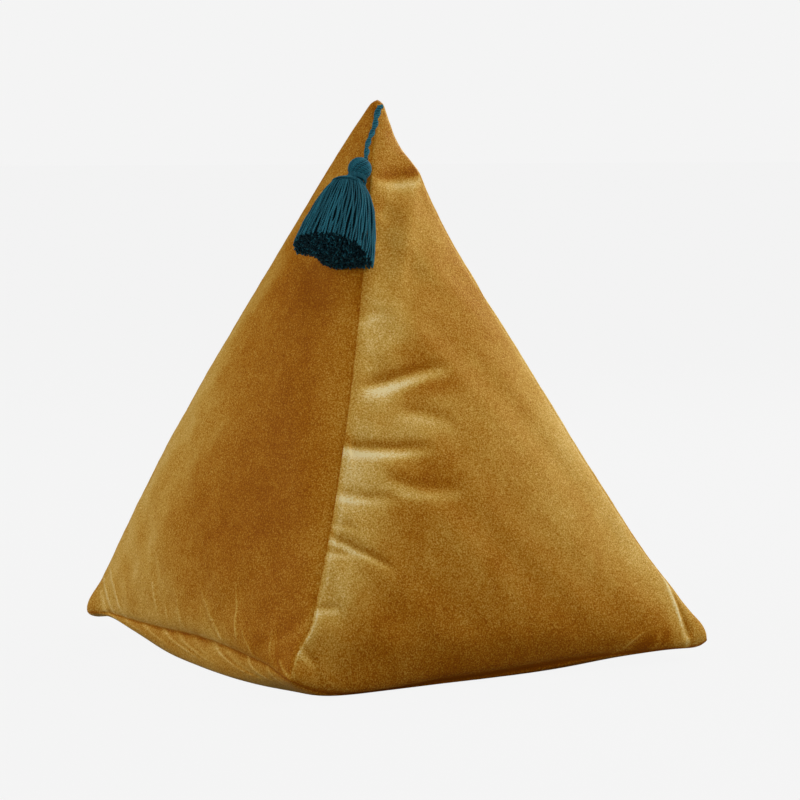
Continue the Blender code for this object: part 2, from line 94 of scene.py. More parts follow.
SEAMS = {
    ("front", "peak"): bends(
        (0.035, 0.5, 1.7), (0.06, 0.8, 5.2), (0.085, 1, 9.2), (0.125, 1.6, 10.9),
        (0.20, 3, 13.4), (0.42, 6, 15.4), (0.70, 5, 10.2), (0.90, 3, 3.4),
    ),
    ("right", "peak"): bends(
        (0.08, -2.5), (0.16, -8), (0.27, -10.5), (0.50, -11.3), (0.80, -8), (0.847, -4.9),
        (0.868, -2.9), (0.887, -3.8), (0.908, -6.0), (0.937, -5.6), (0.962, -3.4),
    ),
    ("back", "peak"): bends((0.15, -4), (0.50, 0, 2), (0.85, 2)),
    ("left", "peak"): bends(
        (0.08, 2.5), (0.25, 8), (0.55, 10.2), (0.75, 8.4), (0.88, 6.8), (0.94, 4.6),
    ),
    ("front", "right"): bends((0.08, -5, -11), (0.40, -13, -13), (0.75, -10, -6), (0.92, -4, -4)),
    ("right", "back"): bends((0.08, -4, -2), (0.5, -13), (0.92, -4, -2)),
    ("back", "left"): bends((0.08, -4, -1), (0.5, -12, 4), (0.92, -4, -1)),
    ("left", "front"): bends(
        (0.08, -3, 3.2), (0.22, -4.5, 3.8), (0.40, -5.8, 5.2), (0.52, -6, 7.4),
        (0.64, -5.4, 7.8), (0.80, -3.6, 6.2), (0.92, -1.8, 4.0),
    ),
}

# How a seam's bend fades towards the opposite corner of its panel
SLANTED_BEND_FADE = 1.5
BASE_BEND_FADE = 2.0

# A side panel bulges by crown at most. The powers set how steeply it leaves its base seam and
# its two slanted seams. tone is a painted sheen over the whole panel, set by how the light falls
# on it: the left panel, the most shaded, has none.
Panel = namedtuple("Panel", "name left right crown base_power side_power tone")
PANELS = (
    Panel("front", "front", "right", 30, 0.42, 0.80, 0.27),
    Panel("right", "right", "back", 27, 0.50, 0.72, 0.26),
    Panel("back", "back", "left", 26, 0.50, 0.72, 0.22),
    Panel("left", "left", "front", 27, 0.55, 0.72, 0.0),
)
BASE_TONE = 0.36

# Base panel: its span, how far it sags below the seams before the floor flattens it, less at the
# corners, and the power that sets how steeply. It swells out past each seam, most at the share
# reach of the way across.
BASE_SPAN = 352
BASE_SAG = 58
BASE_SAG_POWER = 0.56
CornerLift = namedtuple("CornerLift", "u v lift reach")
CORNER_LIFTS = (
    CornerLift(0, 0, 0.5, 0.25),
    CornerLift(1, 0, 0.86, 0.42),
    CornerLift(0, 1, 0.78, 0.44),
    CornerLift(1, 1, 0.6, 0.28),
)
Rim = namedtuple("Rim", "side swell reach")
RIMS = (
    Rim("left", 17, 0.075),
    Rim("front", 2, 0.06),
    Rim("right", 9, 0.07),
    Rim("back", 11, 0.07),
)

# The floor flattens what would hang below it, with a start this soft
FLOOR_BLEND = 5

# Blunt peak: the panels stand off the point by this much, over the rise, fading with depth
PEAK_PLUMP = 4.6
PEAK_RISE = 1.1
PEAK_FADE = 34

# Blunt lower corners: the cloth stands off the point by plump, over rise, and fades over fade.
# Their axes run inwards, to a point over the middle that is this far above them.
Ear = namedtuple("Ear", "corner plump rise fade")
EARS = (
    Ear("right", 6.5, 5, 17),
    Ear("left", 5.5, 5, 16),
    Ear("back", 6, 5, 18),
    Ear("front", 2.5, 5, 14),
)
EAR_AIM = 90

# Creases pressed into a panel. across and up are measured on the flat panel from its left
# corner; on the base they run from the front corner to the right and to the left. bow curves the
# crease sideways, half_width is half its breadth and depth how far it sinks, less than nothing
# for a ridge. rise is the share of its length over which it deepens, small where a seam starts it.
AT_SEAM = 0.07
IN_PANEL = 0.45
Crease = namedtuple(
    "Crease", "across_0 up_0 across_1 up_1 bow half_width depth rise", defaults=(AT_SEAM,)
)
CREASES = by_panel(
    Crease,
    front=(
        (189, 387, 134, 384, 5, 9, 3.5),
        (132, 347, 152, 361, 2, 9, 1.3, IN_PANEL),
        (96, 269, 124, 275, 1, 7, 1.2),
        (77, 215.5, 173, 225, 2, 9.6, 5.2, 0.30),
        (98, 199, 168, 177, 4, 10, 2.4, IN_PANEL),
        (64, 172, 138, 165, 1, 8, 4.9),
        (81, 157, 160, 133, -8, 11, 3.3, IN_PANEL),
        (51, 137, 98, 133, 0, 7, 2.7),
        (41, 114, 62, 111, 1, 4.5, 1.5),
        (39, 104, 88, 80, 3, 5.2, 3.1),
        (32, 93, 60, 93, 1, 4.5, 1.7),
        (19, 52, 42, 55, 1, 5, 2.0),
        (8, 24, 24, 14, 0, 6, 2.4),
        (329, 64, 334, 3, 2, 3.2, -1.9, 0.3),
        (341, 4, 334, 50, 2, 4.2, 3.0),
        (282, 3, 306, 16, 1, 2.2, -1.0),
        (310, 3, 313, 17, 0, 2.4, -0.7),
        (5, 12, 27, 66, 0, 2.0, -1.0),
    ),
    left=(
        (44, 3, 12, 40, 0, 3.0, -1.1),
        (34, 3, 10, 30, -2, 5.0, 1.7),
        (64, 4, 24, 46, 1, 2.4, -1.2),
        (84, 2, 56, 38, 1, 3.2, -0.4),
        (132, 3, 98, 74, 1, 2.2, -1.1, 0.25),
        (150, 2, 116, 58, 1, 2.4, -0.8),
        (171, 2, 150, 46, 1, 2.4, -0.7),
        (196, 2, 172, 34, 0, 3.0, -0.3),
        (236, 2, 184, 42, 1, 2.8, -1.0),
        (228, 2, 186, 32, 1, 4.6, 0.8),
        (262, 3, 231, 58, 1, 2.3, -1.1, 0.2),
        (281, 2, 252, 26, 0, 2.3, -1.0),
        (309, 2, 292, 36, 1, 2.6, -0.9),
        (318, 3, 300, 28, 1, 4.2, 0.9),
        (334, 2, 312, 12, 0, 2.8, -1.2),
        (338, 4, 324, 40, 2, 2.6, -1.0),
        (318, 58, 286, 8, 8, 10, 1.0),
        (346, 4, 325, 54, 0, 2.4, -1.4),
    ),
    right=(
        (322, 170, 240, 180, -5, 8, 3.4),
        (292, 236, 226, 226, 4, 9, 3.0),
        (52, 126, 112, 112, 4, 8, 2.2, IN_PANEL),
        (106, 282, 156, 274, 4, 8, 2.4, IN_PANEL),
        (10, 10, 22, 56, -3, 3.0, -1.1),
        (22, 3, 38, 62, -4, 2.6, -0.9),
        (48, 2, 62, 40, -3, 2.4, -0.8),
        (84, 2, 102, 72, -5, 2.4, -1.1),
        (118, 2, 128, 36, -2, 2.8, -0.5),
        (160, 2, 166, 52, 3, 2.4, -0.8),
        (205, 2, 198, 34, 2, 2.8, -0.5),
        (246, 2, 226, 66, 4, 2.3, -1.1),
        (272, 2, 258, 40, 3, 2.6, -0.7),
        (300, 2, 280, 64, 4, 2.4, -0.9),
        (325, 2, 310, 34, 2, 2.4, -1.0),
        (340, 8, 326, 56, 3, 3.0, -1.1),
    ),
    back=(
        (56, 157, 126, 160, -4, 8, 3.6),
        (90, 237, 150, 248, 4, 8, 3.0),
        (278, 184, 222, 166, -4, 9, 2.8),
        (190, 382, 148, 384, -3, 9, 3.4),
        (12, 9, 28, 60, -3, 3.0, -1.1),
        (32, 3, 46, 44, -3, 2.6, -0.8),
        (70, 2, 90, 76, -5, 2.4, -1.1),
        (104, 2, 114, 38, -3, 2.6, -0.6),
        (148, 2, 156, 58, -3, 2.4, -0.9),
        (192, 2, 190, 34, 2, 2.8, -0.5),
        (232, 2, 214, 62, 4, 2.3, -1.0),
        (262, 2, 250, 36, 3, 2.6, -0.7),
        (292, 2, 270, 70, 4, 2.4, -1.0),
        (318, 2, 304, 38, 2, 2.4, -0.9),
        (340, 9, 324, 58, 3, 3.0, -1.1),
    ),
    base=(
        (2, 308, 11, 268, 0, 1.6, -1.0),
        (1, 284, 8, 240, 0, 1.5, -0.8),
        (1, 248, 8, 200, 0, 1.5, -1.1),
        (1, 212, 10, 138, 0.5, 1.4, -1.2),
        (1, 188, 10, 114, 0.4, 1.4, -1.1),
        (1, 160, 10, 96, 0.5, 1.6, -0.6),
        (1, 124, 15, 40, -0.4, 1.5, -1.4),
        (1, 112, 13, 42, -0.4, 2.2, 1.2),
        (1, 70, 16, 28, -0.2, 1.8, -1.2),
        (2, 36, 14, 12, 0, 2.4, -0.9),
        (349, 82, 334, 130, 0, 4, 1.8),
        (349, 222, 334, 268, 0, 4, -1.8),
        (118, 349, 70, 334, 0, 4, 1.8),
        (256, 349, 210, 334, 0, 4, -1.8),
    ),
)

# Section of a crease: how much it narrows at its ends, its round bottom, the swell beside it and
# how wide that is as shares of the half width, how much wider its lower side is, and how far
# from a seam it comes to its full depth
CREASE_NARROWING = 0.35
CREASE_TIP = 0.16
CREASE_PUFF = 0.30
CREASE_SPREAD = 2.2
LOWER_SIDE = 1.7
CREASE_CLEAR = 7.0

# Soft lumps of the filling: height, how far apart they are across and up, and where their waves
# start, which also turns from panel to panel. The waves waver, and keep clear of the seams.
Lump = namedtuple("Lump", "height across up turn")
LUMPS = (Lump(1.1, 96, 150, 0.6), Lump(0.9, 61, 83, 2.1), Lump(0.6, 43, 47, 4.0))
LUMP_TURN = 1.7
LUMP_WAVER = 0.9
LUMP_CLEAR = 22

# Seams: how far the panels roll in at the stitching, over what width
SEAM_SINK = 1.0
SEAM_ROLL = 2.6

# Puckers along a panel's base, right and left seams: heights, how far they reach in, their lean,
# and the lengths of the waves they are made of, which waver and start elsewhere at each edge
PUCKER_HEIGHTS = (0.14, 0.12, 0.12)
PUCKER_START = 2.2
PUCKER_REACH = 16
PUCKER_LEAN = 0.5
PUCKER_LENGTHS = (31, 19.5, 12.7)
PUCKER_EDGE_TURN = 2.4
PUCKER_WAVE_TURN = 1.9
PUCKER_WAVER = 1.3
PUCKER_WAVER_LENGTH = 47

# Skin of the cushion: faces along each seam, how much closer its rows stand at a seam, how often
# it is split finer where creases shift it by more than a bend, how far apart the flat panels lie
# in the cloth's layout, and how near the points are that the seams join
SKIN_ROWS = 122
SKIN_CROWDING = 1.25
FINER_ROUNDS = 2
FINER_BEND = 0.5
CLOTH_STEP = 400
WELD = 0.01

# Colours of the velvet by how far its pile is lifted, a lift that also carries painted sheen,
# painted highlights and painted shade
VELVET_COLOURS = (
    (-0.25, (0.300, 0.080, 0.002, 1)),
    (0.0, (0.420, 0.136, 0.004, 1)),
    (0.17, (0.480, 0.185, 0.011, 1)),
    (0.35, (0.560, 0.265, 0.030, 1)),
    (0.5, (0.625, 0.328, 0.052, 1)),
    (0.7, (0.710, 0.422, 0.080, 1)),
    (1.0, (0.860, 0.590, 0.190, 1)),
    (1.4, (1.000, 0.820, 0.430, 1)),
)

# How much painted sheen pales the pile where it is seen along its surface, and how much its brush
# marks, drawn out upwards, its smudges and its grain lift it
GRAZING_FROM = 0.5
GRAZING_SHEEN = 0.36
BRUSH_STRETCH = (1, 1, 0.55)
BRUSH_LIFT = 0.5
SMUDGE_LIFT = 0.3
GRAIN_LIFT = 1.75

# Patches of painted sheen and painted shade on a panel, partly real brushing of the pile one
# way: their middle, how far they fade out along and beside their own direction, in degrees from
# across, and how far their pile is lifted
Patch = namedtuple("Patch", "across up long wide turn lift")
SHEEN_SHADE_AND_BRUSHED = by_panel(
    Patch,
    front=(
        (235, 142, 125, 48, 113, 0.24),
        # painted sheen along the right edge of the front panel
        (311, 90, 155, 23, 113, 0.46),
        (76, 150, 120, 26, 70, 0.36),
        (34, 84, 76, 2.6, 69, 0.30),
        (62, 150, 18, 12, 69, 0.30),
        (52, 128, 15, 8, 69, 0.18),
        (76, 184, 18, 8, 69, 0.14),
        (38, 64, 30, 11, 69, 0.30),
        (15, 34, 16, 5, 69, 0.32),
        (86, 208, 26, 8, 0, 0.14),
        (120, 178, 30, 9, -5, 0.30),
        (150, 196, 24, 14, 0, 0.26),
        (120, 240, 34, 8, 7, -0.20),
        (140, 222, 24, 5, 8, 0.16),
        (158, 212, 26, 8, 4, -0.24),
        (166, 238, 16, 12, 0, -0.10),
        (104, 258, 44, 8, 69, 0.16),
        (162, 371, 18, 9, 0, 0.22),
        (122, 278, 56, 20, 69, 0.22),
        (78, 50, 56, 20, 8, -0.18),
        # painted shade along the bottom, where the panel turns under
        (190, 0, 190, 38, 0, -0.30),
        (176, 336, 40, 22, 10, 0.20),
        (164, 303, 22, 14, 0, 0.10),
        (168, 385, 30, 12, 0, -0.12),
        (186, 192, 34, 15, -10, -0.08),
        (112, 120, 34, 12, -8, -0.14),
        (128, 205, 20, 7, 10, -0.14),
        (118, 150, 26, 8, -4, -0.10),
        (96, 238, 40, 18, 15, 0.12),
        (301, 5, 11, 4.5, 22, -0.4),
        (319, 9, 5, 7, 10, -0.3),
    ),
    # painted shade on the base under the front edge
    base=((190, 0, 200, 26, 0, -0.5),),
    left=(
        (114, 132, 110, 48, 70, 0.40),
        (89, 168, 220, 19, 70, 0.31),
        (100, 16, 140, 62, -4, 0.40),
        (200, 6, 90, 9, 0, 0.16),
        # painted shadow of the tassel
        (198, 284, 26, 23, 0, -0.21),
        (170, 372, 34, 18, 70, 0.16),
        (264, 190, 150, 14, 113, 0.17),
        (314, 72, 34, 10, 113, 0.14),
        (236, 96, 60, 40, 20, -0.02),
    ),
    right=(
        (82, 180, 220, 34, 70, 0.45),
        (268, 180, 220, 34, 113, 0.35),
        # painted shade along the bottom of the panel
        (180, 0, 190, 38, 0, -0.18),
        (200, 226, 50, 26, 30, 0.16),
        (130, 120, 60, 34, -20, -0.12),
    ),
    back=(
        (82, 180, 220, 34, 70, 0.40),
        (268, 180, 220, 34, 113, 0.40),
        # painted shade along the bottom of the panel
        (180, 0, 190, 38, 0, -0.18),
        (160, 260, 60, 24, -15, 0.14),
        (222, 110, 70, 30, 20, -0.12),
    ),
)

# Painted light of creases, by the millimetre of their depth: the painted highlight on the lower
# lip and its fading tail, the painted shade on the upper lip, and the painted highlight along a
# ridge. Places and widths are shares of the half width, of which these shares count at the start
# of the crease and at its end.
LIT_START = 0.8
LIT_END = 0.7
LIP_HIGHLIGHT = 0.14
LIP_PLACE = 0.8
LIP_WIDTH = 0.6
TAIL_HIGHLIGHT = 0.42
TAIL_START = 0.3
TAIL_REACH = 1.6
SHADE_DROP = 0.085
SHADE_PLACE = 0.5
SHADE_WIDTH = 0.7
RIDGE_HIGHLIGHT = 0.36
RIDGE_LINE = 0.55

# Painted shade in the seams: how far it lowers the pile's lift in a base seam and in a slanted
# one, and how wide the lines are on the sides and below
SEAM_SHADE = 0.48
SEAM_SHADE_SLANTED = 0.12
SEAM_LINE = 0.65
SEAM_LINE_BELOW = 0.3

# Tassel. It hangs from the middle of its head: down runs along the skirt, side along the
# cushion and off away from it. lean is from straight down; the headings turn from -X to -Y. The
# skirt's length and the neck's ends are distances down from there.
HEAD_CENTRE = (-38.3, -28.6, 374.7)
TASSEL_LEAN = 33
TASSEL_HEADING = 32
TASSEL_FACING = 25
TASSEL_LENGTH = 80.5
NECK_RADIUS = 6.3
NECK_TOP = 6.4
NECK_BOTTOM = 10.6

# Skirt: it widens from its start and is flatter below the shoulder. Down to the shoulder it steps
# aside, a step that fades further down. It stays clear of the velvet, which rays from this far
# outside find.
SHOULDER_DOWN = 15
SKIRT_START = 9.6
SKIRT_HALF_WIDTH = 32.8
SKIRT_FLARE = 0.34
SKIRT_DEPTH_SHARE = 0.85
SKIRT_SIDE_STEP = -5.6
SKIRT_SIDE_FADE = 26
SKIRT_CLEARANCE = 0.9
RAY_START = 100

# How much shorter the skirt is cut to its left, its right, its front, and behind in one place.
# Places are shares of its half width.
CUT_LEFT = 4.5
CUT_LEFT_FROM = 0.3
CUT_RIGHT = 2.5
CUT_RIGHT_FROM = 0.4
CUT_FRONT = 8.0
CUT_BEHIND = 14.0
CUT_BEHIND_AT = -0.95
CUT_BEHIND_WIDTH = 0.36
CUT_BEHIND_DEPTH = 0.35

# Yarns of the skirt in layers from its outside to its core: how many, the shares of its half
# width between which they lie, the length of their steps, their sides and their tones, pale
# ones being rarer the higher rarity is. The inner layers are dark, painted shade inside the
# skirt. The last layer is of ends only, this long, which show where the skirt is cut, mostly dark
# as painted shade of the cut face. A thin layer is an even ring, and the golden angle fills the
# others.
Layer = namedtuple("Layer", "name count inner outer step sides tones rarity ends")
LAYERS = (
    Layer("tassel_skirt", 84, 0.97, 1.0, 0.8, 6, (0.35, 1.3), 1, None),
    Layer("tassel_under_skirt", 120, 0.86, 0.93, 2.6, 5, (0.0, 0.35), 2, None),
    Layer("tassel_filling", 240, 0.0, 0.84, 9, 4, (0.0, 0.1), 1, None),
    Layer("tassel_ends", 950, 0.0, 0.97, 5, 4, (-0.3, 2.2), 5, 11),
)
LAYER_SEED = 3
RING_FROM = 0.8
GOLDEN_ANGLE = 2.399963

# One yarn: two plies in a twist of this length, with a waist between them. In the skirt it starts
# thin inside the neck, thickens, and wanders in waves once it is loose below the shoulder.
YARN_SIDES = 6
YARN_TWIST = 4.6
YARN_WAIST = 0.62
YARN_RADIUS = 0.84
YARN_RADIUS_TOP = 0.42
YARN_THICKENS = 34
YARN_THICKNESSES = (0.9, 1.08)
YARN_ROOT = 1.5
YARN_STRAY = 0.02
YARN_UNEVEN = 1.8
YARN_WANDER = 0.5
YARN_LOOSENS = 20
YARN_WAVES = (26, 60)

# Colours of the yarn, and how much a ply's top, a painted highlight, its tone and its fibres
# lighten it up to pale
YARN_DARK = (0.0006, 0.006, 0.012, 1)
YARN_PALE = (0.026, 0.185, 0.250, 1)
PLY_LIGHT = 0.6
TONE_LIGHT = 0.6
FIBRE_LIGHT = 0.5
PALE_AT = 1.2

# Head: yarns of this half thickness that swirl over its ball, from an angle beside its top down
# to the neck
HEAD_RADIUS = 9.3
HEAD_YARNS = 32
HEAD_YARN = 0.78
HEAD_TOP = 0.12
HEAD_SWIRL = 0.8
HEAD_STEPS = 22
HEAD_TONES = (0.5, 1.2)
HEAD_SEED = 5

# Binding: one yarn wound round the neck. Its turns have a pitch and are made in steps. It starts
# below the neck's top and lies this far out, with its own half thickness, twist, waist and tone.
BINDING_TURNS = 4
BINDING_PITCH = 0.97
BINDING_STEPS = 26
BINDING_START = 0.7
BINDING_OUT = 1.0
BINDING_YARN = 0.62
BINDING_TWIST = 7.0
BINDING_WAIST = 0.7
BINDING_TONE = 0.7

# Two-ply cord from the peak to the head. Its route is the middle line of the cord, a smooth
# curve that is worked out in shares of each stretch and then divided in even steps.
CORD_DIAMETER = 4.0
CORD_ROUTE = (
    (-6.1, -5.4, 422.6),
    (-9.6, -7.8, 419.2),
    (-12.4, -9.6, 414.2),
    (-15.2, -12.3, 407.8),
    (-20.4, -15.5, 400.6),
    (-26.0, -19.4, 393.2),
    (-29.6, -24.4, 387.6),
    (-32.0, -27.0, 382.4),
)
CURVE_STEP = 0.05
CORD_STEP = 0.7

# Plies of the cord: the length of one turn, their radius and how it swells at the peak, and the
# twist and waist of the yarn in each
CORD_TURN = 19
CORD_PLY = 1.3
CORD_SWELL = 0.4
CORD_SWELL_REACH = 15
CORD_SIDES = 10
CORD_TWIST = 4.5
CORD_WAIST = 0.85
CORD_TONES = (0.75, 0.9)

# Set: the backdrop that shows, the light it gives, the floor with how much of it glows evenly
# instead of showing shadows, and the lights with their size in metres and power in watts
BACKDROP = (0.905, 0.905, 0.905, 1)
AMBIENT = 0.03
WHITE = (1, 1, 1, 1)
FLOOR_REACH = 40
FLOOR_GREY = (0.4, 0.4, 0.4, 1)
FLOOR_EVENNESS = 0.96
FLOOR_GLOW = 1.03
LIGHT_TARGET = (0, 0, 0.2)
Light = namedtuple("Light", "name place size power")
LIGHTS = (
    Light("top", (0.2, -0.3, 2.2), 1.5, 6.0),
    Light("high_right", (1.4, -0.8, 1.8), 1.0, 15.5),
    Light("right", (2.1, -0.3, 1.0), 1.0, 10.0),
    Light("right_behind", (1.7, 1.0, 1.5), 1.0, 20.0),
    Light("left_behind", (-1.9, 1.2, 1.2), 1.0, 18.0),
    Light("left", (-2.2, -0.2, 1.0), 1.0, 10.5),
    Light("front_left", (-1.4, -2.4, 0.9), 1.2, 2.0),
    Light("front", (0.2, -2.4, 1.2), 1.2, 11.5),
)


def make_object(name, data, material=None):
    """Object in the scene with that data, and with the material where one is given."""
    obj = bpy.data.objects.new(name, data)
    bpy.context.scene.collection.objects.link(obj)
    if material:
        data.materials.append(material)
    return obj


def aim(obj, place, way):
    """Stand a camera or a light at a place and turn it that way."""
    obj.location = place
    obj.rotation_mode = "QUATERNION"
    obj.rotation_quaternion = way.to_track_quat("-Z", "Y")


def place_camera():
    """Camera at the viewing angle, aimed beside the middle of the cushion."""
    azimuth, elevation = math.radians(VIEW_AZIMUTH), math.radians(VIEW_ELEVATION)
    flat = math.cos(elevation)
    back = Vector((math.sin(azimuth) * flat, -math.cos(azimuth) * flat, math.sin(elevation)))
    right = Vector((math.cos(azimuth), math.sin(azimuth), 0))
    target = right * VIEW_ASIDE + Vector((0, 0, VIEW_HEIGHT))
    data = bpy.data.cameras.new("camera")
    data.sensor_width = SENSOR
    data.lens = VIEW_FOCAL / VIEW_WIDTH * SENSOR
    camera = make_object("camera", data)
    aim(camera, target + back * VIEW_DISTANCE, -back)
    bpy.context.scene.camera = camera


def point(name):
    """A corner or the peak as an array."""
    return np.array(CORNERS[name], dtype=float)


def smooth(t):
    """Rise from 0 to 1 as t does, level at both ends."""
    return t**2 * (3 - 2 * t)


def hill(t):
    """1 where t is nothing, fading to both sides."""
    return np.exp(-(t**2))


def nearing(t):
    """0 where t is nothing, nearing 1 as it grows."""
    return 1 - np.exp(-t)


def turned(first, second, angle):
    """Direction at an angle from the first of two directions towards the second."""
    return first * math.cos(angle) + second * math.sin(angle)


def share(part, whole):
    """part / whole, and nothing where whole is nothing."""
    return np.divide(part, whole, out=np.zeros_like(part), where=whole > NO_SHARE)


def through(at, value, t):
    """Smooth curve through the values at those shares, and zero at both ends of 0..1."""
    at = np.array([0.0, *at, 1.0])
    value = np.array([0.0, *value, 0.0])
    slope = np.gradient(value, at)
    i = np.clip(np.searchsorted(at, t, side="right") - 1, 0, len(at) - 2)
    step = at[i + 1] - at[i]
    s = (t - at[i]) / step
    rise = value[i + 1] - value[i]
    start = s * (1 - s) ** 2 * slope[i] * step
    end = s**2 * (s - 1) * slope[i + 1] * step
    return value[i] + rise * smooth(s) + start + end


def seam_offset(first, second, t):
    """How far the seam from first to second leaves its straight line, an array of points."""
    if (first, second) not in SEAMS:
        return seam_offset(second, first, 1 - t)
    slanted = second == "peak"
    out = point(first) if slanted else (point(first) + point(second)) / 2
    out[2] = 0
    out /= np.linalg.norm(out)
    along = np.array([-out[1], out[0], 0.0]) if slanted else np.array([0.0, 0.0, 1.0])
    at, pushes, slips = zip(*SEAMS[first, second])
    push, slip = through(at, pushes, t), through(at, slips, t)
    return push[:, None] * out + slip[:, None] * along


def crease_place(crease, across, up):
    """Share of a crease's length at places on its panel, and how far below its line they are."""
    start = np.array([crease.across_0, crease.up_0], dtype=float)
    run = np.array([crease.across_1, crease.up_1]) - start
    length = np.linalg.norm(run)
    run /= length
    x, y = across - start[0], up - start[1]
    s = np.clip((x * run[0] + y * run[1]) / length, 0, 1)
    beside = y * run[0] - x * run[1] - crease.bow * 4 * s * (1 - s)
    return s, -beside if run[0] > 0 else beside


def deepened(crease, s):
    """0 at the start of a crease, 1 where it has come to its full depth."""
    return smooth(np.clip(s / crease.rise, 0, 1))


def spent(s):
    """1 at the start of a crease, running out at its end."""
    return 1 - s**3


def crease_shape(crease, across, up):
    """How much of its depth a crease has at places across and up on its panel."""
    s, below = crease_place(crease, across, up)
    strength = deepened(crease, s) * spent(s)
    width = crease.half_width * (1 - CREASE_NARROWING + CREASE_NARROWING * strength)
    if crease.depth > 0:
        width = width * np.where(below > 0, LOWER_SIDE, 1)
    tip = CREASE_TIP * width
    away = (np.sqrt(below**2 + tip**2) - tip) / width
    profile = (1 + CREASE_PUFF) * np.exp(-away)
    profile -= CREASE_PUFF * hill(away / CREASE_SPREAD)
    return strength * profile


def crease_depth(name, across, up):
    """How far the creases of a panel sink at places across and up on it."""
    sunk = np.zeros_like(across)
    for crease in CREASES[name]:
        sunk += crease.depth * crease_shape(crease, across, up)
    return sunk


def crease_painted_light(crease, across, up):
    """Painted light of a crease: a highlight on its lower lip and tail, painted shade on its upper
    one, a highlight along a ridge.
    """
    s, below = crease_place(crease, across, up)
    strength = spent(s)
    if crease.rise > AT_SEAM:
        strength *= deepened(crease, s)
    width = crease.half_width * (LIT_START - (LIT_START - LIT_END) * s)
    if crease.depth < 0:
        return RIDGE_HIGHLIGHT * -crease.depth * strength * hill(below / width / RIDGE_LINE)
    bright = hill((below / width - LIP_PLACE) / LIP_WIDTH)
    tail = TAIL_HIGHLIGHT * np.exp(-below / width / TAIL_REACH)
    bright += tail * np.clip(below / width + TAIL_START, 0, 1)
    dark = hill((below / width + SHADE_PLACE) / SHADE_WIDTH)
    return crease.depth * strength * (LIP_HIGHLIGHT * bright - SHADE_DROP * dark)


def pile_and_painted_light(name, across, up):
    """The pile lift of a panel: painted highlight and shade along its creases, and patches of
    painted sheen and shade, some of them real brushing.
    """
    lift = np.zeros_like(across)
    for crease in CREASES[name]:
        lift += crease_painted_light(crease, across, up)
    for patch in SHEEN_SHADE_AND_BRUSHED[name]:
        turn = math.radians(patch.turn)
        x, y = across - patch.across, up - patch.up
        along = (x * math.cos(turn) + y * math.sin(turn)) / patch.long
        beside = (y * math.cos(turn) - x * math.sin(turn)) / patch.wide
        lift += patch.lift * np.exp(-(along**2 + beside**2))
    return lift


def lumps(index, across, up):
    """Soft unevenness of the filling under panel number index."""
    height = np.zeros_like(across)
    for lump in LUMPS:
        turn = lump.turn + LUMP_TURN * index
        wave = np.sin(TURN * across / lump.across + turn + LUMP_WAVER * np.sin(up / lump.up))
        height += lump.height * wave * np.sin(TURN * up / lump.up + 2 * turn)
    return height


def puckers(index, gap, along):
    """Small puckers that the stitching of edge number index gathers, gap in from it."""
    place = along + PUCKER_LEAN * gap * (-1) ** index
    waver = PUCKER_WAVER * np.sin(place / PUCKER_WAVER_LENGTH + index)
    wave = np.zeros_like(gap)
    for k, length in enumerate(PUCKER_LENGTHS):
        turn = PUCKER_EDGE_TURN * index + PUCKER_WAVE_TURN * k
        wave += np.sin(TURN * place / length + turn + waver)
    return wave * (np.exp(-gap / PUCKER_REACH) * nearing(gap / PUCKER_START))


def pinched(points, gap):
    """Roll the skin in towards the stitching."""
    axis = point("peak")[:2] * (points[:, 2:3] / point("peak")[2])
    out = points[:, :2] - axis
    out /= np.maximum(np.linalg.norm(out, axis=1), 1)[:, None]
    near = np.clip(1 - gap / SEAM_ROLL, 0, 1) ** 2
    points[:, :2] -= (SEAM_SINK * near)[:, None] * out
    return points


def stepped(away, push):
    """Steps of length push along the directions away, and none on the axis itself."""
    radius = np.linalg.norm(away, axis=1)
    return np.where(radius > ON_AXIS, push / np.maximum(radius, ON_AXIS), 0)[:, None] * away


def plump_peak(points):
    """Stand the panels off the point, so that the peak is blunt as sewn corners are."""
    peak = point("peak")
    depth = np.maximum(peak[2] - points[:, 2], 0)
    push = PEAK_PLUMP * nearing(depth / PEAK_RISE) * np.exp(-depth / PEAK_FADE)
    points[:, :2] += stepped(points[:, :2] - peak[:2], push)
    return points


def plump_ears(points):
    """Stand the panels off the lower corners in the same way."""
    for ear in EARS:
        corner = point(ear.corner)
        axis = np.array([-corner[0], -corner[1], EAR_AIM])
        axis /= np.linalg.norm(axis)
        depth = (points - corner) @ axis
        away = points - corner - depth[:, None] * axis
        depth = np.maximum(depth, 0)
        push = ear.plump * nearing(depth / ear.rise) * hill(depth / ear.fade)
        points += stepped(away, push)
    return points


def rest_on_floor(points):
    """Flatten what the floor stops, with a soft start to the contact."""
    low = points[:, 2]
    eased = np.where(low > FLOOR_BLEND, low, (low + FLOOR_BLEND) ** 2 / (4 * FLOOR_BLEND))
    points[:, 2] = np.where(low < -FLOOR_BLEND, 0.0, eased)
    return points


def base_cloth(places):
    """Places on the flat base, to the right and to the left of its front corner."""
    return places[:, 0] * BASE_SPAN, places[:, 1] * BASE_SPAN


def base_gap(u, v):
    """How far places on the flat base are from its nearest seam."""
    return np.minimum(np.minimum(u, 1 - u), np.minimum(v, 1 - v)) * BASE_SPAN


def corners_of(panel):
    """The peak and the left and right corners of a side panel."""
    return point("peak"), point(panel.left), point(panel.right)


def side_cloth(panel, places):
    """Places across and up a flat side panel from its left corner, for shares of its corners."""
    a, _, c = places.T
    peak, left, right = corners_of(panel)
    base = np.linalg.norm(right - left)
    side = (right - left) / base
    lean = np.dot(peak - left, side)
    height = np.linalg.norm(peak - left - lean * side)
    return c * base + a * lean, a * height


def side_gaps(panel, places):
    """How far places on a flat side panel are from its base, right and left seams."""
    peak, left, right = corners_of(panel)
    area = np.linalg.norm(np.cross(right - left, peak - left))
    edges = [np.linalg.norm(edge) for edge in (right - left, peak - right, peak - left)]
    return places.T * area / np.array(edges)[:, None]


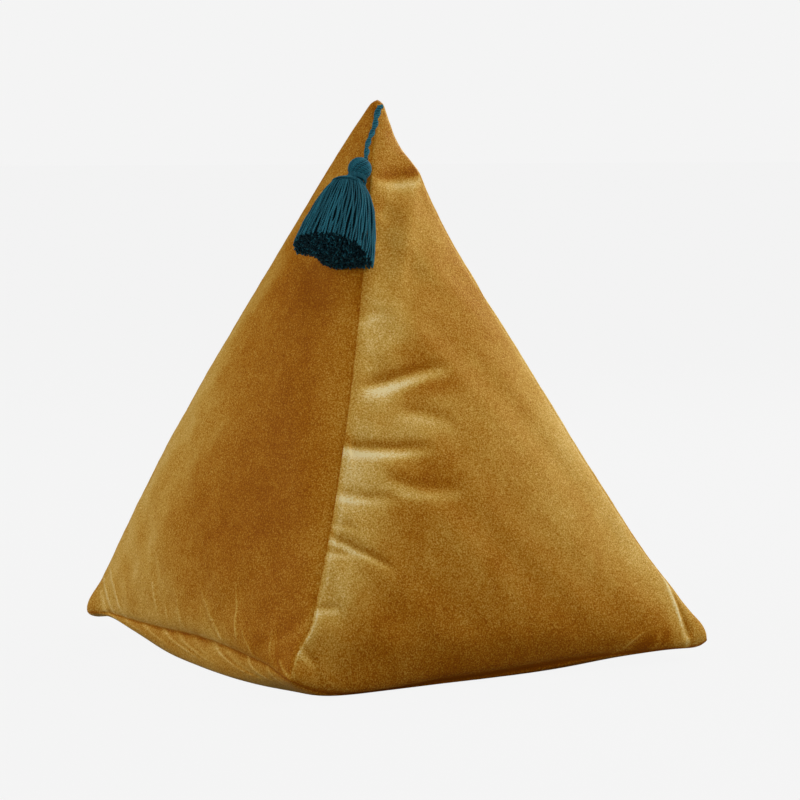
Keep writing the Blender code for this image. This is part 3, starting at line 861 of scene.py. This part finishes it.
def side_panel(panel, places):
    """Points of a side panel where its peak, left and right corners have the shares in places."""
    a, b, c = places.T
    peak, left, right = corners_of(panel)
    flat = a[:, None] * peak + b[:, None] * left + c[:, None] * right
    for opposite, ends, t, fade in (
        (c, (panel.left, "peak"), share(a, a + b), SLANTED_BEND_FADE),
        (b, (panel.right, "peak"), share(a, a + c), SLANTED_BEND_FADE),
        (a, (panel.left, panel.right), share(c, b + c), BASE_BEND_FADE),
    ):
        flat += ((1 - opposite) ** fade)[:, None] * seam_offset(*ends, t)
    normal = np.cross(right - left, peak - left)
    normal /= np.linalg.norm(normal)
    p, q = panel.base_power, panel.side_power
    top = (p / (p + 2 * q)) ** p * (q / (p + 2 * q)) ** (2 * q)
    bulge = panel.crown * a**p * (b * c) ** q / top
    across, up = side_cloth(panel, places)
    gaps = side_gaps(panel, places)
    gap = gaps.min(axis=0)
    index = PANELS.index(panel)
    bulge -= crease_depth(panel.name, across, up) * nearing(gap / CREASE_CLEAR)
    bulge += lumps(index, across, up) * nearing(gap / LUMP_CLEAR)
    gathered = np.zeros_like(gap)
    for k, along in enumerate((across, up, up)):
        gathered += PUCKER_HEIGHTS[k] * puckers(3 * index + k, gaps[k], along)
    bulge += nearing(gap / PUCKER_START) * gathered
    return rest_on_floor(pinched(plump_ears(plump_peak(flat + bulge[:, None] * normal)), gap))


def base_panel(u, v):
    """Points of the base, seen from below: u runs from front to right, v from front to left."""
    front, right, back, left = (point(name) for name in ("front", "right", "back", "left"))
    u1, v1 = u[:, None], v[:, None]
    flat = (1 - v1) * ((1 - u1) * front + u1 * right) + v1 * ((1 - u1) * left + u1 * back)
    flat += (1 - v1) * seam_offset("front", "right", u) + v1 * seam_offset("left", "back", u)
    flat += (1 - u1) * seam_offset("front", "left", v) + u1 * seam_offset("right", "back", v)
    hollow = (16 * u * (1 - u) * v * (1 - v)) ** BASE_SAG_POWER
    for corner in CORNER_LIFTS:
        hollow *= 1 - corner.lift * hill(np.hypot(u - corner.u, v - corner.v) / corner.reach)
    flat[:, 2] -= BASE_SAG * hollow
    sides = {
        "left": (u, v, (-1, 0)),
        "front": (v, u, (0, -1)),
        "right": (1 - u, v, (1, 0)),
        "back": (1 - v, u, (0, 1)),
    }
    for rim in RIMS:
        inward, beside, way = sides[rim.side]
        near = inward / rim.reach
        swell = rim.swell * near * np.exp(1 - near) * np.sqrt(4 * beside * (1 - beside))
        flat[:, :2] += swell[:, None] * np.array(way)
    gap = base_gap(u, v)
    sunk = crease_depth("base", u * BASE_SPAN, v * BASE_SPAN) * nearing(gap / CREASE_CLEAR)
    flat[:, :2] += stepped(np.stack([0.5 - u, 0.5 - v], axis=1), sunk)
    return rest_on_floor(pinched(plump_ears(flat), gap))


def triangle_grid(n):
    """Shares (a, b, c) of a triangle's corners, with rows crowded at its edges, and its faces."""
    rows = [(i, j) for i in range(n + 1) for j in range(n + 1 - i)]
    index = {row: k for k, row in enumerate(rows)}
    shares = np.array([(i / n, (n - i - j) / n, j / n) for i, j in rows]) ** SKIN_CROWDING
    shares /= shares.sum(axis=1)[:, None]
    faces = []
    for i, j in rows:
        if i + j < n:
            faces.append((index[i, j], index[i, j + 1], index[i + 1, j]))
        if i + j < n - 1:
            faces.append((index[i, j + 1], index[i + 1, j + 1], index[i + 1, j]))
    return shares, faces


def square_grid(n):
    """u and v with rows crowded at the edges, and the faces between them, which face down."""
    even = np.arange(n + 1) / n
    near, far = even**SKIN_CROWDING, (1 - even) ** SKIN_CROWDING
    crowded = near / (near + far)
    rows = np.array([(u, v, 0) for u in crowded for v in crowded])
    faces = []
    for i in range(n):
        for j in range(n):
            a, b = i * (n + 1) + j, (i + 1) * (n + 1) + j
            faces.append((a, a + 1, b + 1, b))
    return rows, faces


def finer(places, faces, name, on_cloth):
    """Split the inner edges of a flat panel in two wherever creases bend it."""
    flat = bmesh.new()
    verts = [flat.verts.new(place) for place in places]
    for face in faces:
        flat.faces.new([verts[k] for k in face])
    for _ in range(FINER_ROUNDS):
        flat.verts.index_update()
        across, up = on_cloth(np.array([vertex.co for vertex in flat.verts]))
        bent = np.abs(crease_depth(name, across, up)) > FINER_BEND
        split = [
            edge
            for edge in flat.edges
            if not edge.is_boundary and any(bent[vertex.index] for vertex in edge.verts)
        ]
        bmesh.ops.subdivide_edges(flat, edges=split, cuts=1, use_grid_fill=True)
        bmesh.ops.triangulate(flat, faces=[face for face in flat.faces if len(face.verts) > 3])
    flat.verts.index_update()
    places = np.array([vertex.co for vertex in flat.verts])
    faces = [tuple(vertex.index for vertex in face.verts) for face in flat.faces]
    flat.free()
    return places, faces


def cushion_panels():
    """Points, places on the cloth, pile lift with its painted light, and faces of the side panels
    and the base.
    """
    shares, triangles = triangle_grid(SKIN_ROWS)
    rows, squares = square_grid(SKIN_ROWS)
    parts = []
    for index, panel in enumerate(PANELS):
        places, faces = finer(shares, triangles, panel.name, partial(side_cloth, panel))
        places /= places.sum(axis=1)[:, None]
        across, up = side_cloth(panel, places)
        cloth = np.stack([across + CLOTH_STEP * index, up], axis=1)
        near = hill(side_gaps(panel, places) / SEAM_LINE)
        # Pile lift with painted light: the panel's painted sheen and the painted highlight and
        # shade of its creases and patches
        lift = panel.tone + pile_and_painted_light(panel.name, across, up)
        # painted shade along the seams
        lift -= SEAM_SHADE * near[0] + SEAM_SHADE_SLANTED * (near[1] + near[2])
        parts.append((side_panel(panel, places), cloth, lift, faces))
    places, faces = finer(rows, squares, "base", base_cloth)
    across, up = base_cloth(places)
    cloth = np.stack([across, up - CLOTH_STEP], axis=1)
    u, v, _ = places.T
    # Base pile lift with the painted highlight and shade of its creases and patches
    lift = BASE_TONE + pile_and_painted_light("base", across, up)
    # painted shade along the base seams
    lift -= SEAM_SHADE * hill(base_gap(u, v) / SEAM_LINE_BELOW)
    parts.append((base_panel(u, v), cloth, lift, faces))
    return parts


def make_cushion(material):
    """Filled skin of four side panels and a base, closed along its seams."""
    parts = cushion_panels()
    polygons, start = [], 0
    for points, _, _, faces in parts:
        polygons += [tuple(k + start for k in face) for face in faces]
        start += len(points)
    points, cloth, lift = (np.concatenate([part[k] for part in parts]) for k in range(3))
    data = bpy.data.meshes.new("cushion_velvet")
    data.from_pydata((points * MM).tolist(), [], polygons)
    corners = np.zeros(len(data.loops), dtype=np.int32)
    data.loops.foreach_get("vertex_index", corners)
    places = (cloth[corners] * MM).astype(np.float32).ravel()
    data.uv_layers.new(name="cloth").data.foreach_set("uv", places)
    # The pile lift, with its painted sheen, highlight and shade, goes on every corner of the skin
    store = data.attributes.new("pile_and_painted_light", "FLOAT", "CORNER")
    store.data.foreach_set("value", lift[corners].astype(np.float32))
    skin = bmesh.new()
    skin.from_mesh(data)
    bmesh.ops.remove_doubles(skin, verts=skin.verts, dist=WELD * MM)
    skin.to_mesh(data)
    skin.free()
    data.shade_smooth()
    return make_object("cushion_velvet", data, material)


class Value:
    """A socket of a node tree. Arithmetic on it adds Math nodes."""

    def __init__(self, nodes, socket):
        self.nodes, self.socket = nodes, socket

    def math(self, operation, first, second):
        return self.nodes.add("ShaderNodeMath", {"operation": operation}, {0: first, 1: second})

    def __add__(self, other):
        return self.math("ADD", self, other)

    def __sub__(self, other):
        return self.math("SUBTRACT", self, other)

    def __mul__(self, other):
        return self.math("MULTIPLY", self, other)

    def __truediv__(self, other):
        return self.math("DIVIDE", self, other)

    def ramp(self, low, high):
        """0 below low, 1 above high and smooth between."""
        return self.nodes.add(
            "ShaderNodeMapRange",
            {"interpolation_type": "SMOOTHSTEP"},
            {"Value": self, "From Min": low, "From Max": high},
        )


class Nodes:
    """A node tree under construction."""

    def __init__(self, tree):
        self.tree = tree

    def put(self, socket, value):
        """Link a value to a socket, or set the socket to a constant."""
        if isinstance(value, Value):
            self.tree.links.new(value.socket, socket)
        else:
            socket.default_value = value

    def add(self, kind, settings=None, inputs=None, output=0):
        """A node of this kind, its settings made before its sockets, as one of its outputs."""
        node = self.tree.nodes.new(kind)
        for name, value in (settings or {}).items():
            setattr(node, name, value)
        for name, value in (inputs or {}).items():
            self.put(node.inputs[name], value)
        return Value(self, node.outputs[output])


class Shader(Nodes):
    """A material under construction around its Principled BSDF."""

    def __init__(self, name, **constants):
        self.material = bpy.data.materials.new(name)
        self.material.use_nodes = True
        super().__init__(self.material.node_tree)
        self.feed(**constants)

    def feed(self, **values):
        """Put values on the sockets of the Principled BSDF, and return the material."""
        sockets = self.tree.nodes["Principled BSDF"].inputs
        for name, value in values.items():
            self.put(sockets[name.replace("_", " ")], value)
        return self.material

    def attribute(self, name):
        return self.add("ShaderNodeAttribute", {"attribute_name": name}, output="Fac")

    def object_place(self):
        return self.add("ShaderNodeTexCoord", output="Object")

    def noise(self, place, scale, detail, roughness):
        sockets = {"Vector": place, "Scale": scale, "Detail": detail, "Roughness": roughness}
        return self.add("ShaderNodeTexNoise", inputs=sockets)

    def stretched(self, place, scale):
        return self.add("ShaderNodeMapping", inputs={"Vector": place, "Scale": scale})

    def blend(self, factor, first, second):
        """Colour between first and second. The colour sockets go by number."""
        inputs = {"Factor": factor, 6: first, 7: second}
        return self.add("ShaderNodeMix", {"data_type": "RGBA"}, inputs, output=2)

    def colours(self, factor, stops):
        """Colour from a row of (value, colour) stops."""
        first, last = stops[0][0], stops[-1][0]
        along = (factor - first) * (1 / (last - first))
        mixed = self.add("ShaderNodeValToRGB", inputs={"Fac": along})
        row = mixed.socket.node.color_ramp.elements
        while len(row) < len(stops):
            row.new(0.5)
        for element, (value, colour) in zip(row, stops):
            element.position, element.color = (value - first) / (last - first), colour
        return mixed

    def bump(self, height, distance, strength):
        inputs = {"Height": height, "Distance": distance, "Strength": strength}
        return self.add("ShaderNodeBump", inputs=inputs)


def velvet_material():
    """Cut cotton velvet: deep gold, paler the more its pile lifts, a lift that carries painted
    sheen, highlight and shade.
    """
    shader = Shader(
        "velvet",
        Roughness=0.6,
        Specular_IOR_Level=0.08,
        Specular_Tint=(1.0, 0.6, 0.2, 1),
        Sheen_Weight=0.04,
        Sheen_Roughness=0.3,
        Sheen_Tint=(1.0, 0.85, 0.45, 1),
    )
    place = shader.object_place()
    drawn_out = shader.stretched(place, BRUSH_STRETCH)
    brush = shader.noise(drawn_out, scale=26, detail=4, roughness=0.6)
    smudge = shader.noise(place, scale=70, detail=3, roughness=0.55)
    grain = shader.noise(place, scale=900, detail=1, roughness=0.6)
    # Painted sheen where the surface is seen at a grazing angle
    grazing = shader.add("ShaderNodeLayerWeight", inputs={"Blend": 0.5}, output="Facing")
    # Painted highlight, shade and sheen from the mesh attribute, with real unevenness from brush
    # marks, smudges and grain
    lift = shader.attribute("pile_and_painted_light") + (brush - 0.5) * BRUSH_LIFT
    lift = lift + (smudge - 0.5) * SMUDGE_LIFT + (grain - 0.5) * GRAIN_LIFT
    lift = lift + grazing.ramp(GRAZING_FROM, 1) * GRAZING_SHEEN
    rough = shader.bump(grain, distance=0.0006, strength=0.5)
    return shader.feed(Base_Color=shader.colours(lift, VELVET_COLOURS), Normal=rough)


def yarn_material():
    """Matt twisted yarn: a painted highlight along the top of each ply, painted shade in the groove
    between them.
    """
    shader = Shader(
        "tassel_yarn",
        Roughness=0.75,
        Specular_IOR_Level=0.12,
        Sheen_Weight=0.12,
        Sheen_Roughness=0.4,
        Sheen_Tint=(0.3, 0.8, 1.0, 1),
    )
    fibre = shader.noise(shader.object_place(), scale=2200, detail=2, roughness=0.6)
    # Painted highlight on each ply's top, painted shade in its groove, then tone and fibres
    light = shader.attribute("ply") * PLY_LIGHT + shader.attribute("tone") * TONE_LIGHT
    light = light + (fibre - 0.5) * FIBRE_LIGHT
    colour = shader.blend(light.ramp(0, PALE_AT), YARN_DARK, YARN_PALE)
    rough = shader.bump(fibre, distance=0.0003, strength=0.6)
    return shader.feed(Base_Color=colour, Normal=rough)


YARN_INPUTS = {
    "Lines": "NodeSocketGeometry",
    "Sides": "NodeSocketInt",
    "Twist": "NodeSocketFloat",
    "Waist": "NodeSocketFloat",
    "Finish": "NodeSocketMaterial",
}


def yarn_tree():
    """Node group that turns every polyline of a mesh into a two-ply yarn."""
    tree = bpy.data.node_groups.new("yarns", "GeometryNodeTree")
    for name, kind in YARN_INPUTS.items():
        tree.interface.new_socket(name, in_out="INPUT", socket_type=kind)
    tree.interface.new_socket("Yarns", in_out="OUTPUT", socket_type="NodeSocketGeometry")
    nodes = Nodes(tree)
    number = {"data_type": "FLOAT"}
    given = {name: nodes.add("NodeGroupInput", output=name) for name in YARN_INPUTS}
    along, thick = (
        nodes.add("GeometryNodeInputNamedAttribute", number, {"Name": name})
        for name in ("along", "thick")
    )
    lines = nodes.add("GeometryNodeMeshToCurve", inputs={"Mesh": given["Lines"]})
    angle = along / given["Twist"] * TURN
    lines = nodes.add("GeometryNodeSetCurveTilt", inputs={"Curve": lines, "Tilt": angle})
    sizes = {"Resolution": given["Sides"], "Radius": 1.0}
    ring = nodes.add("GeometryNodeCurvePrimitiveCircle", inputs=sizes)
    place = nodes.add("GeometryNodeInputPosition")
    x, y = (nodes.add("ShaderNodeSeparateXYZ", inputs={0: place}, output=k) for k in range(2))
    ply = (x * x - y * y) * 0.5 + 0.5
    sizes = {"Value": ply, "To Min": given["Waist"], "To Max": 1.0}
    size = nodes.add("ShaderNodeMapRange", inputs=sizes)
    stored = {"Geometry": ring, "Name": "ply", "Value": ply}
    ring = nodes.add("GeometryNodeStoreNamedAttribute", number, stored)
    waisted = nodes.add("ShaderNodeVectorMath", {"operation": "SCALE"}, {0: place, "Scale": size})
    ring = nodes.add("GeometryNodeSetPosition", inputs={"Geometry": ring, "Position": waisted})
    swept = {"Curve": lines, "Profile Curve": ring, "Scale": thick, "Fill Caps": True}
    yarns = nodes.add("GeometryNodeCurveToMesh", inputs=swept)
    yarns = nodes.add("GeometryNodeRealizeInstances", inputs={"Geometry": yarns})
    finished = {"Geometry": yarns, "Material": given["Finish"]}
    yarns = nodes.add("GeometryNodeSetMaterial", inputs=finished)
    nodes.put(tree.nodes.new("NodeGroupOutput").inputs["Yarns"], yarns)
    return tree


def distances(path):
    """How far along a path its points are."""
    return np.concatenate([[0], np.cumsum(np.linalg.norm(np.diff(path, axis=0), axis=1))])


def curve_through(points, step):
    """Even points on a smooth curve through the given ones, and how far along it they are."""
    p = np.array(points, dtype=float)
    p = np.vstack([2 * p[0] - p[1], p, 2 * p[-1] - p[-2]])
    dense = []
    for a, b, c, d in zip(p, p[1:], p[2:], p[3:]):
        for t in np.arange(0, 1, CURVE_STEP):
            square = (2 * a - 5 * b + 4 * c - d) * t**2
            cube = (3 * b - a - 3 * c + d) * t**3
            dense.append((2 * b + (c - a) * t + square + cube) / 2)
    dense.append(p[-2])
    dense = np.array(dense)
    run = distances(dense)
    even = np.linspace(0, run[-1], max(2, round(run[-1] / step) + 1))
    return np.stack([np.interp(even, run, dense[:, k]) for k in range(3)], axis=1), even


def spun(name, lines, material, sides=YARN_SIDES, twist=YARN_TWIST, waist=YARN_WAIST):
    """One mesh of yarns. Each line is (points, half thickness, tone), in millimetres."""
    points, edges, along, thick, tones = [], [], [], [], []
    for path, radius, tone in lines:
        start = len(points)
        points += [tuple(p * MM) for p in path]
        edges += [(start + k, start + k + 1) for k in range(len(path) - 1)]
        along += (distances(path) + tone * twist).tolist()
        thick += (np.broadcast_to(radius, len(path)) * MM).tolist()
        tones += [tone] * len(path)
    data = bpy.data.meshes.new(name)
    data.from_pydata(points, edges, [])
    for label, values in (("along", along), ("thick", thick), ("tone", tones)):
        store = data.attributes.new(label, "FLOAT", "POINT")
        store.data.foreach_set("value", np.array(values, dtype=np.float32))
    obj = make_object(name, data)
    modifier = obj.modifiers.new("Yarns", "NODES")
    modifier.node_group = YARN_TREE
    sockets = {s.name: s.identifier for s in YARN_TREE.interface.items_tree if s.in_out == "INPUT"}
    given = {"Sides": sides, "Twist": twist, "Waist": waist, "Finish": material}
    for socket, value in given.items():
        modifier[sockets[socket]] = value
    return settled(obj)


def settled(obj):
    """Turn what the modifiers make into the object's own mesh."""
    graph = bpy.context.evaluated_depsgraph_get()
    made = bpy.data.meshes.new_from_object(obj.evaluated_get(graph))
    old = obj.data
    obj.data = made
    obj.modifiers.clear()
    bpy.data.meshes.remove(old)
    made.shade_smooth()
    return obj


def tassel_frame():
    """Middle of the head, then the unit directions side, off and down."""
    lean, heading, facing = (math.radians(a) for a in (TASSEL_LEAN, TASSEL_HEADING, TASSEL_FACING))
    flat = Vector((-math.cos(heading), -math.sin(heading), 0))
    down = flat * math.sin(lean) - Vector((0, 0, math.cos(lean)))
    off = Vector((-math.cos(facing), -math.sin(facing), 0))
    off = (off - off.dot(down) * down).normalized()
    return Vector(HEAD_CENTRE), off.cross(down), off, down


def skirt_half_width(s):
    """Half the width of the skirt s below the head's middle."""
    run = max((s - SKIRT_START) / (TASSEL_LENGTH - SKIRT_START), 0)
    return max(SKIRT_HALF_WIDTH * run**SKIRT_FLARE, NECK_RADIUS)


def skirt_point(tree, across, depth, s):
    """Place in the skirt s below the head's middle, for shares -1..1 across and off the cushion."""
    middle, side, off, down = TASSEL
    half = skirt_half_width(s)
    run = s - SHOULDER_DOWN
    step = SKIRT_SIDE_STEP * math.exp(-run / SKIRT_SIDE_FADE) if run > 0 else SKIRT_SIDE_STEP
    if s < SHOULDER_DOWN:
        step *= max((s - NECK_TOP) / (SHOULDER_DOWN - NECK_TOP), 0)
    x = half * across + step
    front = half * (SKIRT_DEPTH_SHARE if s > SHOULDER_DOWN else 1)
    back = -front
    _, _, _, seen = tree.ray_cast((middle + side * x + off * RAY_START + down * s) * MM, -off)
    if seen is not None:
        back = max(back, RAY_START - seen / MM + SKIRT_CLEARANCE)
    y = back + (depth + 1) / 2 * (front - back)
    return middle + side * x + off * y + down * s


def rising(x, start, whole):
    """Nothing up to start, then evenly up to the whole where x is 1."""
    return whole * max(x - start, 0) / (1 - start)


def cut_short(x, y):
    """How much shorter a yarn is cut than the longest, for its shares across and off."""
    left = rising(-x, CUT_LEFT_FROM, CUT_LEFT)
    if y < 0:
        behind = CUT_BEHIND * math.exp(-(((x - CUT_BEHIND_AT) / CUT_BEHIND_WIDTH) ** 2))
        return max(behind * min(-y / CUT_BEHIND_DEPTH, 1), left)
    return left + rising(x, CUT_RIGHT_FROM, CUT_RIGHT) + CUT_FRONT * y


def skirt_lines(tree, layer, seed):
    """Middle lines of yarns that fill a layer of the skirt."""
    rng = np.random.default_rng(seed)
    within = layer.outer**2 - layer.inner**2
    dark, pale = layer.tones
    lines = []
    for k in range(layer.count):
        radius = math.sqrt(layer.inner**2 + within * (k + 0.5) / layer.count)
        angle = TURN * k / layer.count if layer.inner > RING_FROM else k * GOLDEN_ANGLE
        angle += rng.uniform(-YARN_STRAY, YARN_STRAY)
        x, y = radius * math.cos(angle), radius * math.sin(angle)
        length = TASSEL_LENGTH - cut_short(x, y) - rng.uniform(0, YARN_UNEVEN)
        start = NECK_BOTTOM - YARN_ROOT if layer.ends is None else length - layer.ends
        turns = rng.uniform(0, TURN, 4)[:2]
        lengths = rng.uniform(*YARN_WAVES, 2)
        stations = np.linspace(start, length, max(int((length - start) / layer.step), 2) + 1)
        path = []
        for s in stations:
            loose = YARN_WANDER * min(max(s - SHOULDER_DOWN, 0) / YARN_LOOSENS, 1)
            wave = [loose * math.sin(TURN * s / lengths[i] + turns[i]) for i in range(2)]
            half = skirt_half_width(s)
            path.append(skirt_point(tree, x + wave[0] / half, y + wave[1] / half, s))
        grown = np.clip((stations - SKIRT_START) / YARN_THICKENS, 0, 1)
        thick = YARN_RADIUS_TOP + (YARN_RADIUS - YARN_RADIUS_TOP) * grown
        # dark tones of the inner layers and cut ends are painted shade
        tone = dark + (pale - dark) * rng.uniform(0, 1) ** layer.rarity
        lines.append((np.array(path), thick * rng.uniform(*YARN_THICKNESSES), tone))
    return lines


def head_lines():
    """Yarns that run over the ball of the head from its top to the neck."""
    middle, side, off, down = TASSEL
    lowest = math.pi - math.asin(NECK_RADIUS / HEAD_RADIUS)
    radius = HEAD_RADIUS - HEAD_YARN
    rng = np.random.default_rng(HEAD_SEED)
    lines = []
    for k in range(HEAD_YARNS):
        path = []
        for t in np.linspace(HEAD_TOP, lowest, HEAD_STEPS):
            out = turned(side, off, TURN * k / HEAD_YARNS + HEAD_SWIRL * t)
            path.append(middle - down * radius * math.cos(t) + out * radius * math.sin(t))
        lines.append((np.array(path), HEAD_YARN, rng.uniform(*HEAD_TONES)))
    return lines


def binding_lines():
    """One yarn wound round the neck."""
    middle, side, off, down = TASSEL
    path = []
    steps = BINDING_STEPS * BINDING_TURNS
    for k in range(steps + 1):
        out = turned(side, off, TURN * BINDING_TURNS * k / steps)
        s = NECK_TOP + BINDING_START + BINDING_PITCH * BINDING_TURNS * k / steps
        path.append(middle + out * (NECK_RADIUS + BINDING_OUT) + down * s)
    return [(np.array(path), BINDING_YARN, BINDING_TONE)]


def cord_lines(path, run):
    """The two plies of the cord, wound round its middle line."""
    ahead = np.gradient(path, axis=0)
    ahead /= np.linalg.norm(ahead, axis=1)[:, None]
    across = Vector((0, 0, 1)).cross(Vector(ahead[0])).normalized()
    plies = ([], [])
    for place, way, distance in zip(path, ahead, run):
        way = Vector(way)
        across = (across - across.dot(way) * way).normalized()
        other = way.cross(across)
        for k, ply in enumerate(plies):
            out = turned(across, other, TURN * (distance / CORD_TURN + k / 2))
            ply.append(Vector(place) + out * CORD_DIAMETER / 4)
    thick = CORD_PLY * (1 + CORD_SWELL * hill(run / CORD_SWELL_REACH))
    return [(np.array(ply), thick, tone) for ply, tone in zip(plies, CORD_TONES)]


def tree_of(obj):
    """Search tree of an object's faces, for rays."""
    points = [vertex.co.copy() for vertex in obj.data.vertices]
    return BVHTree.FromPolygons(points, [list(face.vertices) for face in obj.data.polygons])


def light_the_set():
    """Pale backdrop and floor, lit softly from all round."""
    scene = bpy.context.scene
    scene.view_settings.view_transform = "Standard"
    scene.world = bpy.data.worlds.new("studio")
    scene.world.use_nodes = True
    nodes = Nodes(scene.world.node_tree)
    seen = nodes.add("ShaderNodeLightPath", output="Is Camera Ray")
    glow = nodes.add("ShaderNodeMix", inputs={"Factor": seen, 2: AMBIENT, 3: BACKDROP[0]})
    plain = nodes.tree.nodes["Background"].inputs
    nodes.put(plain["Color"], WHITE)
    nodes.put(plain["Strength"], glow)

    ground = bpy.data.meshes.new("floor")
    reach = FLOOR_REACH
    corners = [(-reach, -reach, 0), (reach, -reach, 0), (reach, reach, 0), (-reach, reach, 0)]
    ground.from_pydata(corners, [], [(0, 1, 2, 3)])
    shader = Shader("floor")
    shown = shader.add("ShaderNodeLightPath", output="Is Camera Ray") * FLOOR_EVENNESS
    matt = shader.add("ShaderNodeBsdfDiffuse", inputs={"Color": FLOOR_GREY})
    even = shader.add("ShaderNodeEmission", inputs={"Color": BACKDROP, "Strength": FLOOR_GLOW})
    mixed = shader.add("ShaderNodeMixShader", inputs={0: shown, 1: matt, 2: even})
    shader.put(shader.tree.nodes["Material Output"].inputs["Surface"], mixed)
    floor = make_object("floor", ground, shader.material)
    for light in LIGHTS:
        data = bpy.data.lights.new(light.name, "AREA")
        data.shape = "DISK"
        data.size = light.size
        data.energy = light.power
        lamp = make_object(light.name, data)
        aim(lamp, light.place, Vector(LIGHT_TARGET) - Vector(light.place))


place_camera()
TASSEL = tassel_frame()
YARN_TREE = yarn_tree()

velvet = velvet_material()
yarn = yarn_material()

cord_path, cord_run = curve_through(CORD_ROUTE, CORD_STEP)
plies = cord_lines(cord_path, cord_run)
cord = spun("hanging_cord_plies", plies, yarn, CORD_SIDES, CORD_TWIST, CORD_WAIST)
cushion = make_cushion(velvet)
skin = tree_of(cushion)
skirt = []
for k, layer in enumerate(LAYERS):
    lines = skirt_lines(skin, layer, LAYER_SEED + k)
    skirt.append(spun(layer.name, lines, yarn, layer.sides))
head = spun("tassel_head", head_lines(), yarn)
binding = spun("neck_binding", binding_lines(), yarn, twist=BINDING_TWIST, waist=BINDING_WAIST)

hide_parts("cushion")
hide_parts("tassel")
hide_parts("tassel_binding")
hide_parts("hanging_cord")
for piece in (cushion, cord, *skirt, head, binding):
    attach(piece, "root")
light_the_set()
